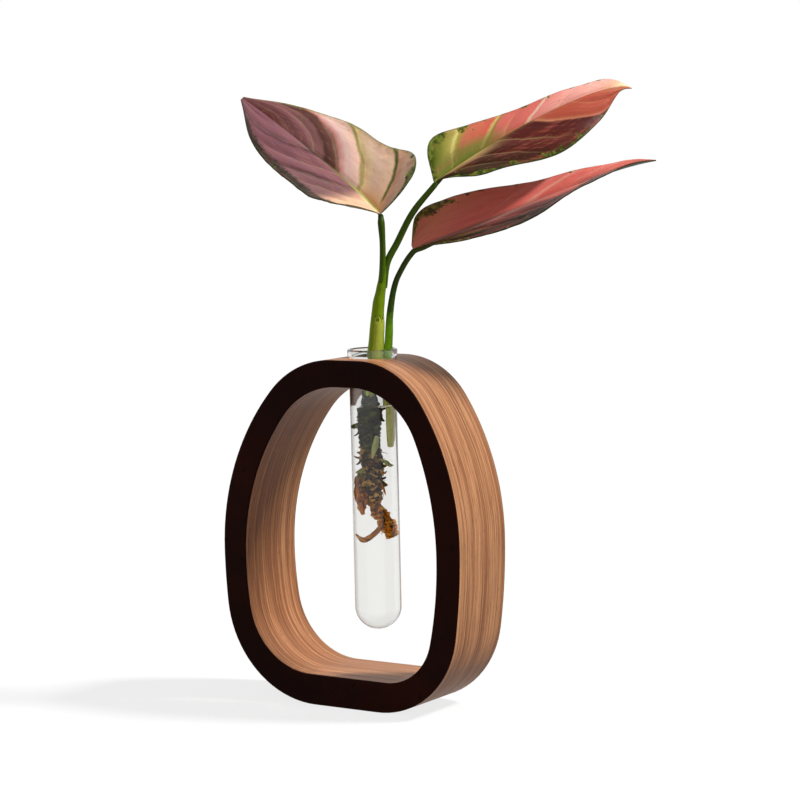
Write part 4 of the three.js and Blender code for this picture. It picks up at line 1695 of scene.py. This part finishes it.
SHEATH_SKIN = SkinFinish(
    name="sheath_skin",
    tones=[
        (0.0, screen(78, 87, 14)),
        (0.3, screen(134, 160, 16)),
        (0.5, screen(152, 184, 20)),
        (0.75, screen(136, 172, 14)),
        (1.0, screen(96, 134, 10)),
    ],
    fibre=screen(150, 172, 40),
    stain=screen(84, 100, 12),
    stain_share=0.15,
    crest=screen(206, 216, 84),
    hollow=screen(86, 72, 24),
    roughness=0.42,
    bump=0.25,
)
PETIOLE_SKIN = SkinFinish(
    name="petiole_skin",
    tones=[(0.0, screen(90, 120, 11)), (0.4, screen(67, 94, 8)), (1.0, screen(55, 74, 10))],
    fibre=screen(84, 108, 24),
    stain=screen(40, 56, 10),
    stain_share=0.25,
    crest=screen(110, 130, 40),
    hollow=screen(40, 56, 10),
    roughness=0.4,
    bump=0.25,
)
LOWER_PETIOLE_SKIN = SkinFinish(
    name="lower_petiole_skin",
    tones=[
        (0.0, screen(242, 239, 153)),
        (0.2, screen(232, 234, 136)),
        (0.32, screen(176, 230, 40)),
        (0.46, screen(136, 208, 24)),
        (0.56, screen(51, 81, 10)),
        (0.68, screen(40, 51, 10)),
        (1.0, screen(77, 86, 19)),
    ],
    fibre=screen(110, 140, 44),
    stain=screen(44, 62, 12),
    stain_share=0.15,
    crest=screen(150, 170, 80),
    hollow=screen(34, 44, 10),
    roughness=0.4,
    bump=0.2,
)
# crest and hollow paint highlights on the knob tops and shade between the knobs.
CANE_SKIN = SkinFinish(
    name="cane_skin",
    tones=[(0.0, screen(40, 44, 8)), (0.35, screen(36, 38, 9)), (0.6, screen(30, 22, 8))],
    fibre=screen(84, 92, 40),
    stain=screen(26, 22, 10),
    stain_share=0.5,
    crest=screen(92, 100, 34),
    hollow=screen(12, 9, 3),
    roughness=0.45,
    bump=0.5,
)
# crest and hollow paint golden highlights on the knob tops and near-black shade between the knobs.
RHIZOME_SKIN = SkinFinish(
    name="rhizome_skin",
    tones=[(0.0, screen(48, 30, 12)), (0.45, screen(66, 40, 14)), (1.0, screen(96, 56, 14))],
    fibre=screen(140, 100, 50),
    stain=screen(30, 16, 8),
    stain_share=0.6,
    crest=screen(226, 176, 92),
    hollow=screen(12, 6, 3),
    roughness=0.5,
    bump=0.7,
)
# crest and hollow paint highlights on the knob tops and shade between the knobs.
AMBER_SKIN = SkinFinish(
    name="amber_root_skin",
    tones=[(0.0, screen(112, 63, 7)), (0.3, screen(161, 85, 7)), (1.0, screen(203, 108, 8))],
    fibre=screen(232, 176, 66),
    stain=screen(96, 50, 12),
    stain_share=0.35,
    crest=screen(255, 204, 72),
    hollow=screen(34, 14, 3),
    roughness=0.45,
    bump=0.7,
)
# crest and hollow paint highlights on the knob tops and shade between the knobs.
RUST_SKIN = SkinFinish(
    name="rust_root_skin",
    tones=[
        (0.0, screen(208, 111, 21)),
        (0.4, screen(189, 98, 18)),
        (0.75, screen(148, 94, 22)),
        (0.88, screen(128, 140, 54)),
        (1.0, screen(150, 166, 74)),
    ],
    fibre=screen(214, 150, 60),
    stain=screen(96, 50, 16),
    stain_share=0.4,
    crest=screen(224, 152, 54),
    hollow=screen(60, 30, 10),
    roughness=0.5,
    bump=0.6,
)
THIN_ROOT_SKIN = SkinFinish(
    name="thin_root_skin",
    tones=[(0.0, screen(150, 84, 26)), (0.5, screen(196, 116, 40)), (1.0, screen(214, 138, 58))],
    fibre=screen(224, 160, 84),
    stain=screen(112, 60, 20),
    stain_share=0.3,
    crest=screen(228, 164, 88),
    hollow=screen(84, 44, 16),
    roughness=0.5,
    bump=0.5,
)
BUD_SKIN = SkinFinish(
    name="bud_skin",
    tones=[(0.0, screen(196, 200, 138)), (0.5, screen(172, 182, 104)), (1.0, screen(190, 192, 128))],
    fibre=screen(222, 222, 176),
    stain=screen(138, 142, 76),
    stain_share=0.2,
    crest=screen(222, 222, 170),
    hollow=screen(120, 120, 60),
    roughness=0.45,
    bump=0.3,
)


@dataclass
class Cutting:
    """The plant: a stem sheath with three leaves on their petioles, and the roots below it."""

    turn: float = 34.0
    stem_reach: float = 70.8 * MM
    stem_radius: float = 3.8 * MM
    root_room_gap: float = 0.4 * MM

    def __post_init__(self) -> None:
        """Sets the cutting's frame at the middle of the tube's mouth."""
        tube = TestTube()
        self.room = tube.bore - self.root_room_gap
        middle = Matrix.Translation((tube.axis, 0, tube.mouth))
        self.to_row = middle @ Matrix.Rotation(math.radians(self.turn), 4, "Z")

    def in_tube(self, across: float, depth: float, height: float, radius: float) -> tuple[Vector, float]:
        """Returns a place below the mouth: shares of the room in the glass, and millimetres up."""
        return Vector((across * self.room, depth * self.room, height * MM)), radius * self.room

    def over_tube(self, across: float, depth: float, height: float, radius: float) -> tuple[Vector, float]:
        """Returns a place above the mouth, as shares of the stems' reach and of the stem's radius."""
        return Vector((across, depth, height)) * self.stem_reach, radius * self.stem_radius

    def leaves(self) -> dict[str, Leaf]:
        """Describes the three leaves."""
        left = Leaf(
            node="leaf_left",
            slot="leaf_mauve",
            base=(0.085, 0, 1),
            length=113 * MM,
            midrib=((-0.015, 0.0195, 0.0177), (-0.2257, 0.3717, 0.2478), (-0.6637, 0.4912, 0.5646)),
            turn=-7,
            rise=43.5,
            left=HalfBlade(
                Side.LEFT, 34.5 * MM, (0.406, 0.812, 1, 0.826, 0.768, 0.464), 15.5, 33, -18, 0.06
            ),
            right=HalfBlade(
                Side.RIGHT, 31 * MM, (0.5, 0.823, 1, 0.977, 0.881, 0.613), -12.5, 39, -1, 0.08
            ),
            finish=MAUVE_LEAF,
            underside=PALE_UNDERSIDE,
            stem_reach=self.stem_reach,
            pucker=1.1 * MM,
        )
        upper_right = Leaf(
            node="leaf_upper_right",
            slot="leaf_coral",
            base=(0.487, 0, 1.212),
            length=123 * MM,
            midrib=((0.126, 0.0813, 0.1171), (0.7724, 0.1764, 0.4699), (0.8789, 0.278, 0.387)),
            turn=4.7,
            rise=42.5,
            left=HalfBlade(
                Side.LEFT, 27 * MM, (0.044, 0.589, 0.826, 1, 0.626, 0.13), -29.5, 38, -25.2, -0.09
            ),
            right=HalfBlade(
                Side.RIGHT, 20.9 * MM, (0.689, 1, 0.785, 0.522, 0.474, 0.459), -28.5, 22.5, -23.7, -0.07
            ),
            finish=SALMON_LEAF,
            underside=OLIVE_UNDERSIDE,
            stem_reach=self.stem_reach,
        )
        lower_right = Leaf(
            node="leaf_lower_right",
            slot="leaf_coral",
            base=(0.306, 0, 0.727),
            length=137.1 * MM,
            midrib=((0.4048, 0.0168, 0.1306), (0.7053, -0.0496, 0.2969), (0.9395, -0.116, 0.3224)),
            turn=23.8,
            rise=54,
            left=HalfBlade(
                Side.LEFT, 22.3 * MM, (0.063, 0.39, 0.87, 1, 0.753, 0.399), -12.5, 5, 40, 0.0
            ),
            right=HalfBlade(
                Side.RIGHT, 24 * MM, (0.804, 1, 0.871, 0.558, 0.425, 0.262), 0.6, 18.2, -9.5, -0.04
            ),
            finish=CORAL_LEAF,
            underside=DARK_UNDERSIDE,
            stem_reach=self.stem_reach,
        )
        return {leaf.node: leaf for leaf in (left, upper_right, lower_right)}

    def stems(self, leaves: dict[str, Leaf]) -> list[Limb]:
        """Describes the sheath and the three petioles that leave it."""
        gap = 0.3 * MM

        def ends_under(name: str) -> list[tuple[Vector, float]]:
            """Returns where a petiole thins out below its leaf."""
            return leaves[name].under_rib(self.stem_radius, gap)

        return [
            Sheath(
                "stem_sheath",
                "sheath",
                SHEATH_SKIN,
                [
                    self.in_tube(-0.23, 0.0, -23.5, 0.33),
                    self.in_tube(-0.05, 0.0, -12, 0.36),
                    self.in_tube(0.16, 0.0, -1, 0.385),
                    self.over_tube(0.035, 0, 0.113, 1),
                    self.over_tube(0.055, 0, 0.325, 0.842),
                    self.over_tube(0.076, 0, 0.438, 0.684),
                    self.over_tube(0.088, 0, 0.52, 0.55),
                    self.over_tube(0.096, 0, 0.6, 0.46),
                ],
                sides=72,
                steps=200,
            ),
            Limb(
                "petiole_left",
                "petiole",
                PETIOLE_SKIN,
                [
                    self.over_tube(0.079, -0.008, 0.466, 0.447),
                    self.over_tube(0.093, -0.011, 0.636, 0.434),
                    self.over_tube(0.096, -0.008, 0.791, 0.421),
                    self.over_tube(0.09, -0.004, 0.93, 0.5),
                    *ends_under("leaf_left"),
                ],
                sides=24,
            ),
            Limb(
                "petiole_upper_right",
                "petiole",
                PETIOLE_SKIN,
                [
                    self.over_tube(0.099, 0.011, 0.459, 0.474),
                    self.over_tube(0.127, 0.016, 0.636, 0.487),
                    self.over_tube(0.202, 0.02, 0.777, 0.474),
                    self.over_tube(0.325, 0.013, 1.003, 0.447),
                    *ends_under("leaf_upper_right"),
                ],
                sides=24,
                steps=80,
            ),
            Limb(
                "petiole_lower_right",
                "petiole",
                LOWER_PETIOLE_SKIN,
                [
                    self.in_tube(0.6, 0.0, -51, 0.13),
                    self.in_tube(0.62, 0.0, -46, 0.17),
                    self.in_tube(0.62, 0.0, -38, 0.18),
                    self.in_tube(0.66, 0.0, -20, 0.19),
                    self.in_tube(0.77, 0.0, -2, 0.2),
                    self.over_tube(0.129, 0, 0.113, 0.553),
                    self.over_tube(0.137, 0, 0.24, 0.487),
                    self.over_tube(0.168, 0, 0.424, 0.421),
                    self.over_tube(0.21, 0, 0.544, 0.395),
                    *ends_under("leaf_lower_right"),
                ],
                sides=24,
                steps=120,
            ),
        ]

    def roots(self) -> list[Limb]:
        """Describes the cane, the rhizome, the roots and the small shoots under water."""
        return [
            Limb(
                "cane",
                "cane",
                CANE_SKIN,
                [
                    self.in_tube(-0.23, 0.0, -22.5, 0.33),
                    self.in_tube(-0.15, 0.0, -31, 0.47),
                    self.in_tube(-0.18, 0.0, -41, 0.42),
                    self.in_tube(-0.18, 0.0, -54, 0.35),
                ],
                sides=72,
                steps=110,
                knobs=0.5 * MM,
                knob_size=5 * MM,
                crinkle=0.25 * MM,
                scars=0.25 * MM,
                flakes=7,
                flake_length=4.5 * MM,
                seed=2,
            ),
            Limb(
                "rhizome",
                "root_brown",
                RHIZOME_SKIN,
                [
                    self.in_tube(-0.16, 0.0, -51, 0.33),
                    self.in_tube(-0.12, 0.05, -58, 0.38),
                    self.in_tube(-0.12, 0.0, -66, 0.4),
                    self.in_tube(-0.14, 0.0, -73, 0.36),
                    self.in_tube(-0.05, 0.0, -79, 0.27),
                ],
                sides=96,
                steps=160,
                knobs=1.6 * MM,
                knob_size=3.0 * MM,
                scars=0.2 * MM,
                crinkle=0.5 * MM,
                rootlets=36,
                rootlet_length=5 * MM,
                flakes=44,
                flake_length=4.4 * MM,
                seed=5,
            ),
            Limb(
                "root_lower",
                "root_amber",
                AMBER_SKIN,
                [
                    self.in_tube(-0.06, 0.0, -76, 0.24),
                    self.in_tube(-0.02, 0.0, -83, 0.24),
                    self.in_tube(0.2, 0.0, -89, 0.28),
                    self.in_tube(0.46, 0.0, -94.5, 0.31),
                    self.in_tube(0.6, 0.0, -99, 0.23),
                ],
                sides=80,
                steps=140,
                knobs=1.9 * MM,
                knob_size=3.0 * MM,
                crinkle=0.35 * MM,
                scars=0.2 * MM,
                scar_pitch=2.6 * MM,
                rootlets=18,
                rootlet_length=3.6 * MM,
                seed=9,
            ),
            Limb(
                "root_left",
                "root_amber",
                RUST_SKIN,
                [
                    self.in_tube(-0.53, -0.1, -87, 0.1),
                    self.in_tube(-0.54, -0.12, -83.5, 0.19),
                    self.in_tube(-0.6, -0.15, -77, 0.25),
                    self.in_tube(-0.63, -0.15, -70, 0.21),
                    self.in_tube(-0.45, -0.15, -64, 0.16),
                ],
                sides=64,
                steps=100,
                knobs=1.3 * MM,
                knob_size=2.8 * MM,
                crinkle=0.3 * MM,
                rootlets=14,
                rootlet_length=3.0 * MM,
                seed=11,
            ),
            Limb(
                "root_thin",
                "root_amber",
                THIN_ROOT_SKIN,
                [
                    self.in_tube(0.2, -0.1, -93, 0.08),
                    self.in_tube(0.02, -0.16, -96.5, 0.11),
                    self.in_tube(-0.24, -0.2, -99.5, 0.12),
                    self.in_tube(-0.52, -0.2, -101.2, 0.13),
                    self.in_tube(-0.82, -0.16, -98.6, 0.06),
                ],
                sides=28,
                steps=90,
                crinkle=0.15 * MM,
                rootlets=5,
                rootlet_length=2.0 * MM,
                seed=13,
            ),
            Limb(
                "bud_scale",
                "bud",
                BUD_SKIN,
                [
                    self.in_tube(0.1, -0.34, -46, 0.1),
                    self.in_tube(0.02, -0.44, -51, 0.13),
                    self.in_tube(-0.1, -0.46, -57, 0.05),
                ],
                sides=20,
                steps=30,
            ),
            Limb(
                "side_shoot",
                "bud",
                BUD_SKIN,
                [
                    self.in_tube(0.2, -0.12, -58, 0.05),
                    self.in_tube(0.42, -0.14, -59.6, 0.09),
                    self.in_tube(0.58, -0.14, -61.4, 0.08),
                    self.in_tube(0.72, -0.12, -61.6, 0.03),
                ],
                sides=20,
                steps=40,
                crinkle=0.1 * MM,
            ),
            Limb(
                "cut_stub",
                "root_brown",
                RHIZOME_SKIN,
                [
                    self.in_tube(-0.2, -0.25, -60, 0.15),
                    self.in_tube(-0.22, -0.4, -60.3, 0.16),
                    self.in_tube(-0.23, -0.48, -60.5, 0.14),
                ],
                sides=24,
                steps=20,
                crinkle=0.1 * MM,
            ),
            Limb(
                "root_fibre_upper",
                "root_brown",
                THIN_ROOT_SKIN,
                [
                    self.in_tube(0.22, -0.1, -64, 0.05),
                    self.in_tube(0.34, -0.14, -65.5, 0.05),
                    self.in_tube(0.44, -0.16, -64.6, 0.025),
                ],
                sides=10,
                steps=20,
            ),
            Limb(
                "root_fibre_lower",
                "root_brown",
                THIN_ROOT_SKIN,
                [
                    self.in_tube(0.16, -0.1, -70, 0.05),
                    self.in_tube(0.3, -0.16, -73.5, 0.05),
                    self.in_tube(0.38, -0.18, -77, 0.025),
                ],
                sides=10,
                steps=20,
            ),
        ]

    def build(self) -> None:
        """Builds leaves, stems and roots."""
        leaves = self.leaves()
        for leaf in leaves.values():
            leaf.build(self.to_row)
        for limb in self.stems(leaves) + self.roots():
            limb.build(self.to_row)


@dataclass
class Studio:
    """The pale room, its lamp and the camera at the photograph's angle."""

    azimuth: float = 33.66
    elevation: float = 5.99
    roll: float = -1.33
    distance: float = 1351.14 * MM
    aim: tuple[float, float, float] = (26.19 * MM, 0.0, 163.12 * MM)
    lens: float = 115.72
    lamp_from: tuple[float, float, float] = (0.56, 0.29, 0.776)
    lamp_strength: float = 3.8
    lamp_width: float = 8.0
    room_light: float = 0.27
    floor_white: float = 0.8

    def build_camera(self) -> None:
        """Sets the camera."""
        turn, rise = math.radians(self.azimuth), math.radians(self.elevation)
        level = math.cos(rise)
        back = Vector((math.sin(turn) * level, -math.cos(turn) * level, math.sin(rise)))
        camera = bpy.data.cameras.new("camera")
        camera.lens = self.lens
        camera.sensor_width = 36.0
        camera.clip_start = 0.05
        camera.clip_end = 50.0
        holder = bpy.data.objects.new("camera", camera)
        bpy.context.scene.collection.objects.link(holder)
        face = (-back).to_track_quat("-Z", "Y").to_matrix().to_4x4()
        place = Matrix.Translation(Vector(self.aim) + back * self.distance)
        holder.matrix_world = place @ face @ Matrix.Rotation(math.radians(self.roll), 4, "Z")
        bpy.context.scene.camera = holder

    def build_lamp(self) -> None:
        """Sets one soft lamp high on the right."""
        lamp = bpy.data.lights.new("key_lamp", "SUN")
        lamp.energy = self.lamp_strength
        lamp.angle = math.radians(self.lamp_width)
        holder = bpy.data.objects.new("key_lamp", lamp)
        holder.matrix_world = Vector(self.lamp_from).to_track_quat("Z", "Y").to_matrix().to_4x4()
        bpy.context.scene.collection.objects.link(holder)

    @staticmethod
    def shows_white(bench: NodeBench) -> Socket:
        """Returns 1 for the rays that show the white background: from the camera, mirrors and glass."""
        path = bench.add("LightPath").outputs
        seen = bench.math("MAXIMUM", path["Is Camera Ray"], path["Is Glossy Ray"])
        return bench.math("MAXIMUM", seen, path["Is Transmission Ray"])

    def build_room(self) -> None:
        """Sets an even room light that looks white."""
        world = bpy.data.worlds.new("room")
        bpy.context.scene.world = world
        world.use_nodes = True
        world.node_tree.nodes.clear()
        bench = NodeBench(world.node_tree)
        even = bench.add("Background", {"Strength": self.room_light})
        plain = bench.add("Background", {"Strength": 1.0})
        for background in (even, plain):
            background.inputs["Color"].default_value = (1.0, 1.0, 1.0, 1.0)
        looks = {0: self.shows_white(bench), 1: even.outputs[0], 2: plain.outputs[0]}
        output = bench.add("OutputWorld")
        bench.put(output.inputs["Surface"], bench.add("MixShader", looks).outputs[0])

    def build_floor(self) -> None:
        """Lays a white floor that keeps a light shadow and throws little light back up."""
        builder = bmesh.new()
        bmesh.ops.create_grid(builder, x_segments=1, y_segments=1, size=12.0)
        floor = finished_object("floor", builder)
        material = bpy.data.materials.new("white_floor")
        material.use_nodes = True
        material.node_tree.nodes.clear()
        bench = NodeBench(material.node_tree)
        seen = self.shows_white(bench)
        dull, pale = screen(120, 112, 104), screen(246, 246, 246)
        paper = bench.add("BsdfDiffuse", {"Color": bench.mix(seen, dull, pale)})
        glow = bench.add("Emission", {"Color": (1.0, 1.0, 1.0, 1.0), "Strength": 1.0})
        share = bench.times(seen, self.floor_white)
        mixed = bench.add("MixShader", {0: share, 1: paper.outputs[0], 2: glow.outputs[0]})
        output = bench.add("OutputMaterial")
        bench.put(output.inputs["Surface"], mixed.outputs[0])
        floor.data.materials.append(material)

    def build(self) -> None:
        """Sets up the whole room."""
        bpy.context.scene.view_settings.view_transform = "Standard"
        self.build_camera()
        self.build_lamp()
        self.build_room()
        self.build_floor()


def main() -> None:
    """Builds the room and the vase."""
    logging.basicConfig(level=logging.INFO, format="%(name)s: %(message)s")
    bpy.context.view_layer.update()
    Studio().build()
    WoodenRing().build()
    TestTube().build()
    Cutting().build()


if __name__ == "__main__":
    main()
